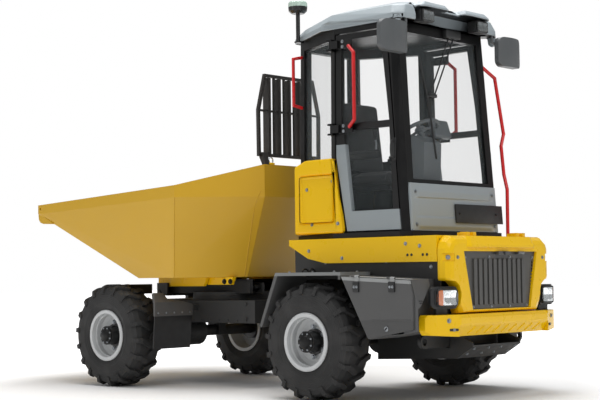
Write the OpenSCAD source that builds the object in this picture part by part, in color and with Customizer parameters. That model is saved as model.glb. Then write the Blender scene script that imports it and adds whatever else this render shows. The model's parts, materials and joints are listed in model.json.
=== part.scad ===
// Site dumper with articulated frame, turning and tipping skip and a closed cab.
// The skip lip points to -X, the engine end to +X, +Z is up, wheels stand on z = 0.

/* [Overall] */
// Length from the skip lip to the bumper face
length = 4460; // [4300:5:4600]
// Distance between the two axles
wheelbase = 2330; // [2290:1:2370]
// Distance between tyre centres across the machine
track = 1667; // [1655:1:1680]
// From the engine end axle to the bumper face
engine_overhang = 1130; // [1110:1:1150]

/* [Wheels] */
// Tyre diameter over the lugs
tyre_d = 875; // [865:1:885]
// Tyre width over the sidewalls
tyre_w = 310; // [300:1:320]
// Rim flange diameter
rim_d = 438; // [425:1:450]
// Height of the tread lugs
lug_h = 26; // [12:1:32]
// Number of tread lugs on each half of a tyre
lugs = 18; // [14:1:22]

/* [Skip] */
// Half width of the skip
skip_half = 945; // [900:1:965]
// Height of the skip floor underside
floor_z = 925; // [920:1:940]
// Rim height at the lip
rim_lip_z = 1600; // [1570:1:1640]
// Rim height where the side turns in
rim_bend_z = 1690; // [1660:1:1720]
// Rim height at the back
rim_back_z = 1860; // [1830:1:1890]
// Plate thickness of the skip
plate = 10; // [6:1:14]
// Half width of the back wall
back_half = 370; // [340:1:390]

/* [Frames] */
// Distance of the steering pivot ahead of the engine end axle
pivot_ahead = 900; // [880:1:920]
// Distance of the skip turntable behind the skip end axle
slew_behind = 615; // [600:1:630]
// Reach of the tipping hinge ahead of the turntable centre
hinge_reach = 640; // [625:1:650]
// Height of the tipping hinge
hinge_z = 800; // [795:1:805]
// Width of the steering pivot pin
pivot_d = 80; // [60:1:90]

/* [Cab] */
// Height of the cab floor top
cab_z = 1250; // [1240:1:1260]
// Height of the roof underside
roof_z = 2830; // [2780:1:2880]
// Half width of the cab at the doors
cab_half = 605; // [595:1:615]
// Wall thickness of the cab frame
pillar = 60; // [45:1:70]
// Door thickness
door_t = 38; // [30:1:45]

/* [Hidden] */
$fn = 48;
ax_r = length / 2 - engine_overhang;
ax_f = ax_r - wheelbase;
lip_x = -length / 2;
end_x = length / 2;
wr = tyre_d / 2;
ty = track / 2;
rim_r = rim_d / 2;
seat_r = rim_r - 22;
pivot_x = ax_r - pivot_ahead;
slew_x = ax_f + slew_behind;
hinge_x = slew_x - hinge_reach;
c = 0.3;
fit = 0.1;
body_y = 620;
seam_x = end_x - 130;
hood_z = 1224;
box_in = body_y;
box_out = ty + tyre_w / 2 - 23.5;

// Half outline [y, z] of the grille opening
grille_half = [[374, 672], [472, 1094]];

// Lashing eyes
eye_x = end_x - 310;
eye_y = 605;
eye_z = 441;
eye_r = 26;

// Plan points of the skip, each [x, half width]
f_front = [slew_x - 320, skip_half - 95];
f_bend = [slew_x + 130, skip_half - 95];
f_back = [slew_x + 450, back_half - 60];
r_bend = [slew_x + 220, skip_half - 20];
r_back = [slew_x + 725, back_half];
ramp_x = lip_x + 215;
ramp_z = rim_lip_z - 176;
fold_lip_z = rim_lip_z - 110;
fold_bend_z = rim_bend_z - 100;
fold_back_z = rim_back_z - 205;
slope = (ramp_z - floor_z) / (f_front[0] - ramp_x);
lip_plane_z = ramp_z + slope * (ramp_x - lip_x);
rim_k = (rim_back_z - rim_bend_z) / (r_back[0] - r_bend[0]);

// Tip cylinders
tip_base = [slew_x + 395, 835];
tip_eye = [hinge_x + 210, 895];
tip_len = norm(tip_eye - tip_base);
tip_ang = atan2(tip_eye[1] - tip_base[1], tip_eye[0] - tip_base[0]);
tip_y = 170;
beam_y = tip_y + 65;
lug_y = beam_y + 43;

// Steering cylinder
st_z = 610;
st_base = [pivot_x + 460, 150];
st_eye = [pivot_x - 60, 200];
st_len = norm(st_eye - st_base);
st_ang = atan2(st_eye[1] - st_base[1], st_eye[0] - st_base[0]);

// Cab corners in plan, near the floor and under the roof
cab_lo = [[slew_x + 1095, cab_half - 270], [slew_x + 1700, cab_half], [slew_x + 2350, cab_half],
    [slew_x + 2400, cab_half - 45]];
cab_hi = [[slew_x + 1105, cab_half - 285], [slew_x + 1700, cab_half - 20], [slew_x + 2235, cab_half - 40],
    [slew_x + 2289, cab_half - 70]];
door_x0 = cab_lo[1][0] + 20;
door_hinge_x = cab_lo[1][0] + 8;
door_hinge_y = cab_half + 22;
station_x = cab_lo[1][0] + 65;
hinge_zs = [roof_z - 780, roof_z - 130];

// Box from two corners
module box(a, b) {
    translate(a) cube(b - a);
}

// Side view outline [x, z] drawn out from y0 to y1
module side(y0, y1) {
    translate([0, y1, 0]) rotate([90, 0, 0]) linear_extrude(y1 - y0) children();
}

// Front view outline [y, z] drawn out from x0 to x1
module front(x0, x1) {
    translate([x0, 0, 0]) rotate([90, 0, 90]) linear_extrude(x1 - x0) children();
}

// Plan outline [x, y] drawn out from z0 to z1
module plan(z0, z1) {
    translate([0, 0, z0]) linear_extrude(z1 - z0) children();
}

// Both sides of the machine
module both() {
    children();
    mirror([0, 1, 0]) children();
}

// Cylinder along Y
module rod_y(x, z, r, y0, y1) {
    translate([x, y1, z]) rotate([90, 0, 0]) cylinder(r = r, h = y1 - y0);
}

// Straight round bar between two points
module bar(a, b, r) {
    d = b - a;
    translate(a) rotate([0, acos(d[2] / norm(d)), atan2(d[1], d[0])]) cylinder(r = r, h = norm(d), $fn = 16);
}

// Bent round bar through a list of points
module tube(p, r) {
    for (i = [0 : len(p) - 2]) bar(p[i], p[i + 1], r);
    for (i = [1 : len(p) - 2]) translate(p[i]) sphere(r = r + 0.6, $fn = 20);
}

// Whole plan outline [x, y] from its half at +Y
function mirrored(p) = concat(p, [for (i = [len(p) - 1 : -1 : 0]) [p[i][0], -p[i][1]]]);

// Whole front outline [y, z] from its half at +Y
function across(p) = concat(p, [for (i = [len(p) - 1 : -1 : 0]) [-p[i][0], p[i][1]]]);

// Flat rectangle with round corners
module rounded(a, b, r) {
    translate([a[0] + r, a[1]]) square([b[0] - a[0] - 2 * r, b[1] - a[1]]);
    translate([a[0], a[1] + r]) square([b[0] - a[0], b[1] - a[1] - 2 * r]);
    for (x = [a[0] + r, b[0] - r], y = [a[1] + r, b[1] - r]) translate([x, y]) circle(r = r);
}

// Wheel parts, axis along Y at the origin, outer side at +Y
// Casing turned about the axis to radius r and width w
module tyre_round(r, w) {
    rotate([-90, 0, 0]) rotate_extrude($fn = 72) polygon(mirrored([[seat_r + c, w / 2 - 26],
        [rim_r + 6, w / 2 - 22], [rim_r + 60, w / 2], [r - 62, w / 2 - 6], [r - 16, w / 2 - 22], [r,
            w / 2 - 62]]));
}

// Slanted tread bars, the two halves staggered by half a pitch
module lug_bars() {
    for (i = [0 : lugs - 1], s = [-1, 1]) rotate([0, (i + s / 4) * 360 / lugs, 0]) mirror([0,
        s < 0 ? 1 : 0, 0])
        translate([wr - 80, 0, 0]) rotate([0, 90, 0]) linear_extrude(120) polygon([[-16, tyre_w / 2 + 5],
            [16, tyre_w / 2 + 5], [20, tyre_w / 2 - 60], [66, 14], [58, -12], [24, 2], [-20,
                tyre_w / 2 - 70]]);
}

module tyre_body() {
    tyre_round(wr - lug_h, tyre_w - 8);
    intersection() {
        tyre_round(wr, tyre_w);
        lug_bars();
    }
}

// Dished rim with its hub and wheel nuts
module rim_body() {
    w = tyre_w / 2 - 30 + c;
    difference() {
        union() {
            rotate([-90, 0, 0]) rotate_extrude($fn = 64) polygon([
                [seat_r - 10, -w - 13], [rim_r - 2, -w - 13], [rim_r - 2, -w - 4], [seat_r, -w], [seat_r, w],
                [rim_r, w + 4], [rim_r, w + 12], [rim_r - 8, w + 18], [seat_r - 10, w + 15], [seat_r - 12,
                    w - 22],
                [seat_r - 20, w - 32], [seat_r - 20, 52], [150, 30], [85, 26], [85, 10], [seat_r - 12, 10],
                [seat_r - 10, 0]]);
            rotate([-90, 0, 0]) translate([0, 0, -60]) cylinder(r = 96, h = 106);
            rotate([-90, 0, 0]) translate([0, 0, 40]) cylinder(r = 80, h = 92);
            for (a = [30 : 60 : 359]) rotate([0, a, 0]) translate([112, 25, 0]) rotate([-90, 0, 0])
                cylinder(r = 13, h = 24, $fn = 18);
        }
        rotate([-90, 0, 0]) translate([0, 0, -61]) cylinder(r = 45, h = 140);
    }
}

module wheel_at(x, s) {
    translate([x, s * ty, wr]) mirror([0, s < 0 ? 1 : 0, 0]) children();
}

module axle_at(x, top) {
    rod_y(x, wr, 50, -ty + 70, ty - 70);
    rod_y(x, wr, 45 - fit, -ty - 60, ty + 60);
    translate([x, 0, wr]) rotate([90, 0, 0]) cylinder(r = 125, h = 220, center = true);
    both() box([x - 75, 305, wr - 40], [x + 75, 385, top]);
}

// Engine end half of the frame
module rear_frame() color("#3c3c3a") {
    both() box([pivot_x + 260, 300, 490], [end_x - 180, 380, 700]);
    for (z = [470, 720]) plan(z, z + 30) polygon(mirrored([[pivot_x - 90, 85],
        [pivot_x + 260, 380], [pivot_x + 560, 380]]));
    box([pivot_x + 520, -380, 470], [pivot_x + 560, 380, 750]);
    both() box([pivot_x + 260, 300, 470], [pivot_x + 560, 380, 750]);
    box([pivot_x + 490, -380, 700], [pivot_x + 560, 380, 760]);
    translate([pivot_x, 0, 455]) cylinder(r = pivot_d / 2, h = 310);
    translate([pivot_x, 0, 745]) cylinder(r = pivot_d / 2 + 25, h = 22);
    for (z = [st_z - 60, st_z + 36]) plan(z, z + 24) polygon([[st_base[0] - 45, st_base[1] - 45],
        [pivot_x + 530, st_base[1] - 60], [pivot_x + 530, st_base[1] + 60],
        [st_base[0] - 45, st_base[1] + 45]]);
    translate([st_base[0], st_base[1], st_z - 66]) cylinder(r = 18, h = 132);
}

// Upright plates that carry the cab and close the engine bay, and the guard under it
module bulkheads() color("#3c3c3a") {
    box([pivot_x + 490, -600 + c, 760 + c], [pivot_x + 520, 600 - c, 1185 - c]);
    box([end_x - 230, -600 + c, 700 + c], [end_x - 200, 600 - c, 1185 - c]);
    difference() {
        side(-310, 310) polygon([[ax_r + 150, 490 - c], [ax_r + 150, 280], [end_x - 230, 310], [end_x - 85,
            400],
            [end_x - 85, 430], [end_x - 230, 490 - c]]);
        side(-300, 300) polygon([[ax_r + 149, 491], [ax_r + 149, 290], [end_x - 233, 320], [end_x - 84, 412],
            [end_x - 84, 491]]);
        box([eye_x - 20, -400, 385], [eye_x + 20, 400, 500]);
    }
}

// Cross plate under the engine end with an eye at each end for lashing
module tie_eyes() color("#3c3c3a") {
    difference() {
        union() {
            front(eye_x - 15, eye_x + 15) polygon(across([[400, eye_z - 46], [eye_y, eye_z - 48], [eye_y,
                490 - c]]));
            both() translate([eye_x - 15, eye_y, eye_z]) rotate([0, 90, 0]) cylinder(r = 48, h = 30);
        }
        both() translate([eye_x - 16, eye_y, eye_z]) rotate([0, 90, 0]) cylinder(r = eye_r, h = 32);
    }
}

module rear_axle() color("#2c2c2c") axle_at(ax_r, 490);

// Plain mass of the engine
module engine_block() color("#4a4a48") {
    box([ax_r + 160, -260, 575], [end_x - 290, 260, 1020]);
    both() box([ax_r + 260, 255, 600], [ax_r + 420, 300, 690]);
}

// Yellow skirt and top under the cab
module engine_cover() color("#e8bc1c") {
    both() side(body_y, body_y + 38) polygon([[pivot_x + 450, 1210], [seam_x - 6, 1210],
        [seam_x - 6, 1020], [pivot_x + 830, 1023], [pivot_x + 650, 1060], [pivot_x + 450, 1165]]);
    box([pivot_x + 450, -body_y, 1185], [seam_x - 6, body_y, 1210]);
    both() {
        box([seam_x - 55, 300, 1205], [seam_x, 340, 1233]);
        rod_y(seam_x, hood_z, 7, 262, 378);
        rod_y(seam_x, hood_z, 12, 300, 340);
    }
}

module body_panels() color("#4a4a4a") {
    both() side(600, body_y) polygon([[pivot_x + 480, 1185], [seam_x - 6, 1185], [seam_x - 6, 690],
        [ax_r + 420, 690], [ax_r + 380, 900], [ax_r - 330, 900], [pivot_x + 480, 760]]);
}

// Bumper with a chamfered upper edge and a lower face that slopes back
module bumper() color("#e8bc1c") {
    intersection() {
        plan(485, 642) polygon(mirrored([[end_x - 180, 820], [end_x - 125, 820], [end_x - 70, 760], [end_x,
            560]]));
        union() {
            side(-580, 580) polygon([[end_x - 180, 485], [end_x - 62, 485], [end_x - 6, 560], [end_x, 575],
                [end_x, 618], [end_x - 22, 642], [end_x - 180, 642]]);
            both() front(end_x - 190, end_x - 5) polygon([[575, 485], [790, 500], [820, 530], [820, 622],
                [805, 642], [575, 642]]);
        }
    }
}

// Headlamps on their brackets and work lamps under the roof hoods
module headlamps() color("#20211f") {
    both() {
        intersection() {
            front(end_x - 170, end_x - 40) rounded([528, 684], [786, 842], 42);
            plan(600, 900) polygon([[end_x - 116, 500], [end_x - 52, 500], [end_x - 58, 700], [end_x - 100,
                790],
                [end_x - 116, 790]]);
        }
        intersection() {
            front(end_x - 120, end_x - 40) rounded([540, 696], [760, 830], 32);
            plan(600, 900) polygon([[end_x - 90, 500], [end_x - 44, 500], [end_x - 51, 697], [end_x - 88,
                775],
                [end_x - 110, 775]]);
        }
        box([end_x - 125, 590, 642], [end_x - 100, 720, 700]);
        front(cab_hi[3][0] + 62, cab_hi[3][0] + 140) rounded([cab_half - 333, roof_z - 6],
            [cab_half - 177, roof_z + 88], 14);
        box([cab_hi[3][0] + 85, cab_half - 275, roof_z + 80],
            [cab_hi[3][0] + 115, cab_half - 235, roof_z + 100 - c]);
    }
}

// Wheel arches of the engine end
module rear_fenders() color("#5e5e5e") {
    both() {
        box([ax_r - 295, body_y, 930], [ax_r + 345, box_out, 955]);
        side(body_y, box_out) polygon([[ax_r - 310, 955], [ax_r - 275, 955], [ax_r - 457, 540],
            [ax_r - 485, 540]]);
        box([ax_r + 325, body_y, 900], [ax_r + 345, box_out, 955]);
    }
}

// Locker and tank outline seen from the side
module box_form(y1) {
    difference() {
        intersection() {
            side(box_in, y1) polygon([[ax_r + 350, 925], [end_x - 145, 895], [end_x - 90, 700],
                [end_x - 60, 535],
                [ax_r + 605, 470]]);
            plan(400, 1000) polygon([[ax_r + 300, box_in], [end_x - 195, box_in], [end_x - 195, 746],
                [end_x - 40, 746], [end_x - 40, 800], [end_x - 110, y1], [ax_r + 300, y1]]);
        }
        front(end_x - 194, end_x) polygon([[box_in, 850], [746, 850], [y1 - 20, 690], [y1 - 20, 400],
            [box_in, 400]]);
    }
}

// Along the upper outer edge of the locker, x to the engine end
module box_edge() {
    translate([ax_r + 350, box_out + 2, 929]) rotate([0, atan2(30, end_x - 145 - ax_r - 350), 0]) children();
}

// Hollow locker behind the near rear wheel
module tool_box() color("#6a6a6a") {
    mirror([0, 1, 0]) {
        difference() {
            box_form(box_out - 20);
            side(box_in + 15, box_out) polygon([[ax_r + 376, 899], [end_x - 215, 873], [end_x - 215, 515],
                [ax_r + 615, 496]]);
        }
        box_edge() for (x = [110, 440]) {
            box([x, -42, -8], [x + 30, 2, 6]);
            translate([x, 0, 0]) rotate([0, 90, 0]) cylinder(r = 6, h = 70);
        }
    }
}

// Flap of the locker, hinged at its upper edge
module box_flap() color("#727272") {
    mirror([0, 1, 0]) {
        side(box_out - 20 + c, box_out) polygon([[ax_r + 354, 920], [end_x - 150, 889],
            [end_x - 122, 790], [end_x - 122, 545], [ax_r + 603, 474]]);
        box_edge() for (x = [110, 440]) difference() {
            union() {
                translate([x + 31, 0, 0]) rotate([0, 90, 0]) cylinder(r = 10, h = 36);
                box([x + 31, -10, -60], [x + 67, 8, 0]);
            }
            translate([x + 30, 0, 0]) rotate([0, 90, 0]) cylinder(r = 6 + fit, h = 40);
        }
    }
}

module fuel_tank() color("#6a6a6a") {
    intersection() {
        box_form(box_out);
        box([ax_r + 300, 0, 400], [ax_r + 800, box_out, 1000]);
    }
    translate([ax_r + 640, box_out - 120, 890]) cylinder(r = 45, h = 50);
}

module cab_base() color("#202020") {
    plan(1210, cab_z) polygon(mirrored([[cab_lo[0][0] - 12, 350], [cab_lo[1][0], cab_half + 18],
        [cab_lo[2][0], cab_half + 18], [cab_lo[3][0] + 30, 570]]));
}

// Cab body grown inward by d from its outer faces
module cab_solid(d) {
    hull() {
        plan(cab_z - (d > 0 ? 1 : 0), cab_z + 1) polygon(mirrored([for (i = [0 : 3]) cab_in(cab_lo, i, d)]));
        plan(roof_z - 1, roof_z + (d > 0 ? 1 : 0)) polygon(mirrored([for (i = [0 : 3]) cab_in(cab_hi, i,
            d)]));
    }
}

function cab_in(p, i, d) = i == 0 ? [p[0][0] + d, p[0][1] - 0.65 * d] :
    i == 1 ? [p[1][0] + 0.2 * d, p[1][1] - d] :
    i == 2 ? [p[2][0] - 0.4 * d, p[2][1] - d] : [p[3][0] - d, p[3][1] - 0.75 * d];

// Door outline shrunk by g
function door_line(g) = [[door_x0 + g, roof_z - 50 - g], [door_x0 + g, 1830], [door_x0 + 105 + g,
    cab_z + 14 + g],
    [cab_lo[2][0] - 5 - g, cab_z + 14 + g], [cab_hi[2][0] - 30 - g, roof_z - 50 - g]];

function upper_line(g) = [[door_x0 + 55 + g, roof_z - 95 - g], [door_x0 + 55 + g, 2085 + g],
    [cab_lo[2][0] - 113 - g, 2085 + g], [cab_hi[2][0] - 80 - g, roof_z - 95 - g]];

function lower_line(g) = [[door_x0 + 75 + g, 2035 - g], [door_x0 + 150 + g, 1420 + g],
    [cab_lo[2][0] - 75 - g, 1420 + g], [cab_lo[2][0] - 112 - g, 2035 - g]];

function screen_line(g) = across([[cab_lo[3][1] - 80 - g, 1640 + g], [cab_hi[3][1] - 80 - g,
    roof_z - 75 - g]]);

function back_line(g) = across([[cab_lo[0][1] - 73 - g, 1560 + g], [cab_hi[0][1] - 65 - g, roof_z - 75 - g]]);

module quarter(g) {
    a = atan2(cab_lo[1][1] - cab_lo[0][1], cab_lo[1][0] - cab_lo[0][0]);
    l = norm(cab_lo[1] - cab_lo[0]);
    translate([cab_lo[0][0], cab_lo[0][1], 0]) rotate([0, 0, a]) side(-200, 120) polygon([[75 + g, 1760 + g],
        [l - 60 - g, 1760 + g], [l - 65 - g, roof_z - 75 - g], [75 + g, roof_z - 75 - g]]);
}

module cab_frame() color("#1c1c1c") {
    difference() {
        cab_solid(0);
        cab_solid(pillar);
        both() side(400, 800) polygon(door_line(-10));
        front(cab_lo[3][0] - 400, cab_lo[3][0] + 100) polygon(screen_line(0));
        front(cab_lo[0][0] - 100, cab_lo[0][0] + 200) polygon(back_line(0));
        both() quarter(0);
    }
    both() for (z = hinge_zs) {
        for (k = [-45, 30 + c]) difference() {
            box([door_hinge_x - 40, cab_half - 30, z + k], [door_hinge_x + 10, door_hinge_y + 12,
                z + k + 15 - c]);
            box([door_x0 - 10, cab_half - 60, z - 60], [door_x0 + 60, cab_half + 4, z + 60]);
        }
        translate([door_hinge_x, door_hinge_y, z - 44]) cylinder(r = 8, h = 88);
    }
}

module cab_glass() color("#9fb4bb") {
    intersection() {
        difference() {
            cab_solid(20);
            cab_solid(26);
        }
        union() {
            front(cab_lo[3][0] - 300, cab_lo[3][0] + 50) polygon(screen_line(c));
            front(cab_lo[0][0] - 50, cab_lo[0][0] + 100) polygon(back_line(c));
            both() quarter(c);
        }
    }
}

// Roof moulding with a sloped skirt, two lamp hoods and corner lobes at the engine end
module cab_roof() color("#b8c2c8") {
    difference() {
        union() {
            hull() {
                plan(roof_z, roof_z + 40) polygon(mirrored([[cab_hi[0][0] - 85, cab_half - 305],
                    [cab_hi[1][0] - 40, cab_half + 35], [cab_hi[2][0] + 90, cab_half + 35],
                    [cab_hi[3][0] + 110, cab_half - 15], [cab_hi[3][0] + 130, cab_half - 305]]));
                plan(roof_z + 105, roof_z + 110) polygon(mirrored([[cab_hi[0][0] + 10, cab_half - 325],
                    [cab_hi[1][0] - 5, cab_half], [cab_hi[2][0] + 60, cab_half - 5],
                    [cab_hi[3][0] + 95, cab_half - 60]]));
                plan(roof_z + 140, roof_z + 150) polygon(mirrored([[cab_hi[0][0] + 170, cab_half - 365],
                    [cab_hi[1][0] + 60, cab_half - 125], [cab_hi[2][0] + 20, cab_half - 120],
                    [cab_hi[3][0] + 30, cab_half - 180]]));
            }
            both() hull() {
                plan(roof_z + 100, roof_z + 110) polygon([[cab_hi[3][0] - 80, cab_half - 505],
                    [cab_hi[3][0] + 165, cab_half - 497], [cab_hi[3][0] + 178, cab_half - 455],
                    [cab_hi[3][0] + 174, cab_half - 205], [cab_hi[3][0] + 150, cab_half - 165],
                    [cab_hi[3][0] - 80, cab_half - 155]]);
                plan(roof_z + 136, roof_z + 146) polygon([[cab_hi[3][0] - 80, cab_half - 485],
                    [cab_hi[3][0] + 140, cab_half - 475], [cab_hi[3][0] + 145, cab_half - 215],
                    [cab_hi[3][0] - 80, cab_half - 185]]);
            }
            both() side(cab_half - 10, cab_half + 25) polygon([[cab_hi[2][0] + 65, roof_z + 20],
                [cab_hi[2][0] + 80, roof_z - 60], [cab_hi[2][0] + 105, roof_z - 80], [cab_hi[2][0] + 135,
                    roof_z - 72],
                [cab_hi[2][0] + 142, roof_z + 20]]);
        }
        box([cab_hi[3][0] + 8, -cab_half + 150, roof_z - 1], [cab_hi[3][0] + 300, cab_half - 150,
            roof_z + 100]);
        both() side(cab_half - 16, cab_half + 200) polygon([[cab_hi[0][0] - 200, roof_z - 1],
            [cab_hi[2][0] + 60, roof_z - 1], [cab_hi[1][0] - 20, roof_z + 48], [cab_hi[0][0] - 200,
                roof_z + 70]]);
    }
}

module cab_front_panel() color("#8a9296") {
    hull() {
        plan(cab_z + 4, cab_z + 5) polygon(mirrored([[cab_lo[3][0], cab_lo[3][1] - 5],
            [cab_lo[3][0] + 18, cab_lo[3][1] - 15]]));
        plan(1609, 1610) polygon(mirrored([[cab_lo[3][0] - 25, cab_lo[3][1] - 8],
            [cab_lo[3][0] - 7, cab_lo[3][1] - 18]]));
    }
}

// Bulged covers at the skip end corners of the cab
module corner_fairings() color("#e8bc1c") {
    both() difference() {
        plan(cab_z, 1830) polygon([[cab_lo[0][0] + 70, cab_lo[0][1] - 5], [cab_lo[0][0] + 110, cab_half - 85],
            [cab_lo[0][0] + 190, cab_half], [cab_lo[1][0] + 60, cab_half + 32], [cab_lo[1][0] + 105,
                cab_half + 12],
            [cab_lo[1][0] + 100, cab_half - 45]]);
        cab_solid(-c);
        plan(cab_z + 90, 1700) polygon([[cab_lo[0][0] + 250, cab_half - 4], [cab_lo[1][0] + 10,
            cab_half + 20],
            [cab_lo[1][0] + 10, cab_half + 90], [cab_lo[0][0] + 250, cab_half + 90]]);
        side(300, 800) polygon([[door_x0 - 12, 1831], [door_x0 - 12, 1825], [door_x0 + 93, cab_z - 1],
            [door_x0 + 300, cab_z - 1], [door_x0 + 300, 1831]]);
        side(300, 800) polygon([[cab_lo[0][0] - 50, 1700], [cab_lo[0][0] + 300, 1832], [cab_lo[0][0] - 50,
            1832]]);
    }
}

// Curved mirror shell between two [y, z] corners on its arm from the roof
module mirror_at(a, b) {
    x = cab_hi[3][0] + 115;
    mid = (a + b) / 2;
    intersection() {
        front(x, x + 75) rounded(a, b, 55);
        translate([x - 255, mid[0], a[1] - 1]) cylinder(r = 330, h = b[1] - a[1] + 2);
    }
    tube([[cab_hi[3][0] + 95, cab_half - 50, roof_z - c], [cab_hi[3][0] + 95, cab_half - 50, roof_z - 50],
        [x + 25, mid[0] - 60, mid[1] + 30]], 11);
}

module mirrors() color("#5c6164") {
    mirror([0, 1, 0]) mirror_at([cab_half + 5, roof_z - 280], [cab_half + 315, roof_z - 50]);
    mirror_at([cab_half - 45, roof_z - 245], [cab_half + 255, roof_z - 8]);
}

module beacon() color("#d8e4dc") {
    translate([cab_hi[0][0] + 50, -cab_half + 201, roof_z]) {
        box([-25, -18, -12], [25, 44, -c]);
        translate([0, 0, -12]) cylinder(r = 17, h = 250);
        translate([0, 0, 225]) rotate_extrude() polygon([[0, 0], [52, 0], [74, 20], [78, 54], [0, 54]]);
        translate([0, 0, 278]) rotate_extrude() polygon([[0, 0], [76, 0], [78, 6], [76, 34], [68, 44], [50,
            47], [0, 47]]);
    }
}

module hand_rails() color("#e01b1b") {
    difference() {
        union() {
            tube([[cab_lo[3][0] + 45, body_y + 15, 1210 + c], [cab_lo[3][0] + 45, body_y + 18, 1600],
                [cab_lo[3][0] + 8, body_y + 30, 1722], [cab_lo[3][0] - 20, body_y + 40, 1950],
                [cab_lo[3][0] + 6, body_y + 40, 2045], [cab_lo[3][0] - 69, body_y + 40, 2505],
                [cab_lo[3][0] - 150, cab_half - 75, 2630]], 14);
            mirror([0, 1, 0]) tube([[cab_lo[0][0] + 40, cab_half - 280, 2290],
                [cab_lo[0][0] + 10, cab_half - 193, 2310], [cab_lo[0][0] + 10, cab_half - 193, 2690],
                [cab_lo[0][0] + 40, cab_half - 285, 2710]], 13);
        }
        cab_solid(-c);
    }
}

// Front face of the seat's back shell at height z
function seat_back(z) = -300 - 0.124 * (z - 1670);

// Turning driver's station
module seat() color("#26282a") {
    translate([station_x, 0, 0]) {
        translate([0, 0, cab_z + c]) cylinder(r = 240, h = 50 - c);
        box([0, -110, cab_z + c], [410, 110, cab_z + 50]);
        translate([-60, 0, cab_z + 50]) cylinder(r = 90, h = 300);
        box([-300, -220, cab_z + 340], [170, 220, cab_z + 380]);
        side(-205, 205) polygon([[-340, cab_z + 380], [-300, cab_z + 340], [seat_back(1670), 1670],
            [seat_back(2300), 2300], [seat_back(2300) - 22, 2300]]);
        both() box([-230, 252, 1840], [120, 305, 1880]);
        both() box([-290, 252, cab_z + 345], [-210, 290, 1860]);
        both() box([-290, 215, cab_z + 345], [-210, 260, cab_z + 375]);
    }
}

// Squab and backrest
module seat_cushions() color("#1f2022") {
    translate([station_x, 0, 0]) {
        box([-270, -240, cab_z + 380 + c], [190, 240, 1740]);
        side(-235, 235) polygon([[seat_back(1745) + c, 1745], [-205, 1745], [-280, 2330],
            [seat_back(2330) + c, 2330]]);
    }
}

module steering_console() color("#33383b") {
    translate([station_x, 0, 0]) {
        side(-110, 110) polygon([[245, cab_z + 50], [400, cab_z + 50], [430, 1950], [330, 2010], [260,
            1980]]);
        translate([350, 0, 1970]) rotate([0, -25, 0]) {
            cylinder(r = 20, h = 90);
            translate([0, 0, 102]) rotate_extrude() translate([150, 0]) circle(r = 15, $fn = 12);
            translate([0, 0, 85]) cylinder(r = 42, h = 26);
            for (a = [60, 180, 300]) rotate([0, 0, a]) translate([0, 0, 94]) box([20, -15, 0], [145, 15, 12]);
        }
    }
}

// Outline of the hood seen from the engine end, inset by d
function fascia_line(d) = across([[500 - d, 647 + d / 3], [656 - d, 900], [656 - d, 1110], [640 - d,
    1162 - d / 2],
    [585 - d, 1208 - d]]);

// Space for a headlamp, grown by g
function lamp_line(g) = [[512 - g, 600], [512 - g, 800], [530 - g, 848 + g], [575 - g, 880 + g], [900,
    905 + g],
    [900, 600]];

// Yellow hood that swings up at the engine end
module hood_fascia() color("#f0c41e") {
    difference() {
        union() {
            hull() {
                front(seam_x, seam_x + 20) polygon(fascia_line(0));
                front(end_x - 75, end_x - 70) polygon(fascia_line(8));
                front(end_x - 45, end_x - 40) polygon(fascia_line(30));
                front(end_x - 32, end_x - 30) polygon(fascia_line(60));
            }
            hull() {
                plan(1122, 1140) polygon(mirrored([[end_x - 110, 520], [end_x - 30, 440], [end_x - 12,
                    400]]));
                plan(1185, 1206) polygon(mirrored([[end_x - 115, 500], [end_x - 52, 420], [end_x - 40,
                    385]]));
            }
        }
        difference() {
            front(seam_x - 1, end_x - 75) polygon(fascia_line(28));
            both() front(seam_x - 2, end_x) polygon(lamp_line(26));
        }
        both() front(seam_x - 3, end_x) polygon(lamp_line(0));
        front(end_x - 90, end_x - 1) polygon(across(grille_half));
        both() translate([end_x - 62, 622, 1022]) rotate([0, 0, -48]) box([-45, -2, 0], [45, 60, 56]);
    }
    both() for (y = [262, 340 + c]) difference() {
        union() {
            rod_y(seam_x, hood_z, 12, y, y + 38 - c);
            box([seam_x, y, 1202], [seam_x + 60, y + 38 - c, hood_z + 12]);
        }
        rod_y(seam_x, hood_z, 7 + fit, y - 10, y + 50);
    }
}

// Grille plate with upright channels, a pierced column, a camera and a small lamp under the lip
module radiator_grille() color("#5a5855") {
    difference() {
        front(end_x - 62, end_x - 50) polygon(across([[grille_half[0][0] - c, grille_half[0][1] + c],
            [grille_half[1][0] - c, grille_half[1][1] - c]]));
        for (i = [0 : 11]) box([end_x - 70, 392 + i * 3, 720 + i * 26], [end_x - 40, 412 + i * 3,
            734 + i * 26]);
    }
    for (i = [-5 : 5]) front(end_x - 51, end_x - 36) rounded([i * 62 - 33, 704], [i * 62 + 5, 1040], 10);
    box([end_x - 55, -58, 1070], [end_x - 16, 95, 1094 - c]);
    box([end_x - 55, 206, 1072], [end_x - 20, 289, 1094 - c]);
}

// Doors, hinged at their skip end edge
module door_body() {
    difference() {
        intersection() {
            difference() {
                cab_solid(0);
                cab_solid(door_t);
            }
            side(300, 800) polygon(door_line(0));
        }
        side(300, 800) polygon(upper_line(0));
        side(300, 800) polygon(lower_line(0));
    }
    for (z = hinge_zs) {
        difference() {
            union() {
                box([door_hinge_x - 13, cab_half + 2, z - 30], [door_x0 + 60, door_hinge_y + 13, z + 30]);
                box([door_x0 + 4, cab_half - 34, z - 30], [door_x0 + 54, cab_half + 3, z + 30]);
                box([door_x0 + 50, cab_half + 4, z - 34], [door_x0 + 185, cab_half + 16, z + 34]);
            }
            translate([door_hinge_x, door_hinge_y, z - 40]) cylinder(r = 8 + fit, h = 80);
        }
    }
}

module door_pane() {
    intersection() {
        difference() {
            cab_solid(14);
            cab_solid(20);
        }
        side(300, 800) union() {
            polygon(upper_line(2 * c));
            polygon(lower_line(2 * c));
        }
    }
}

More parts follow.
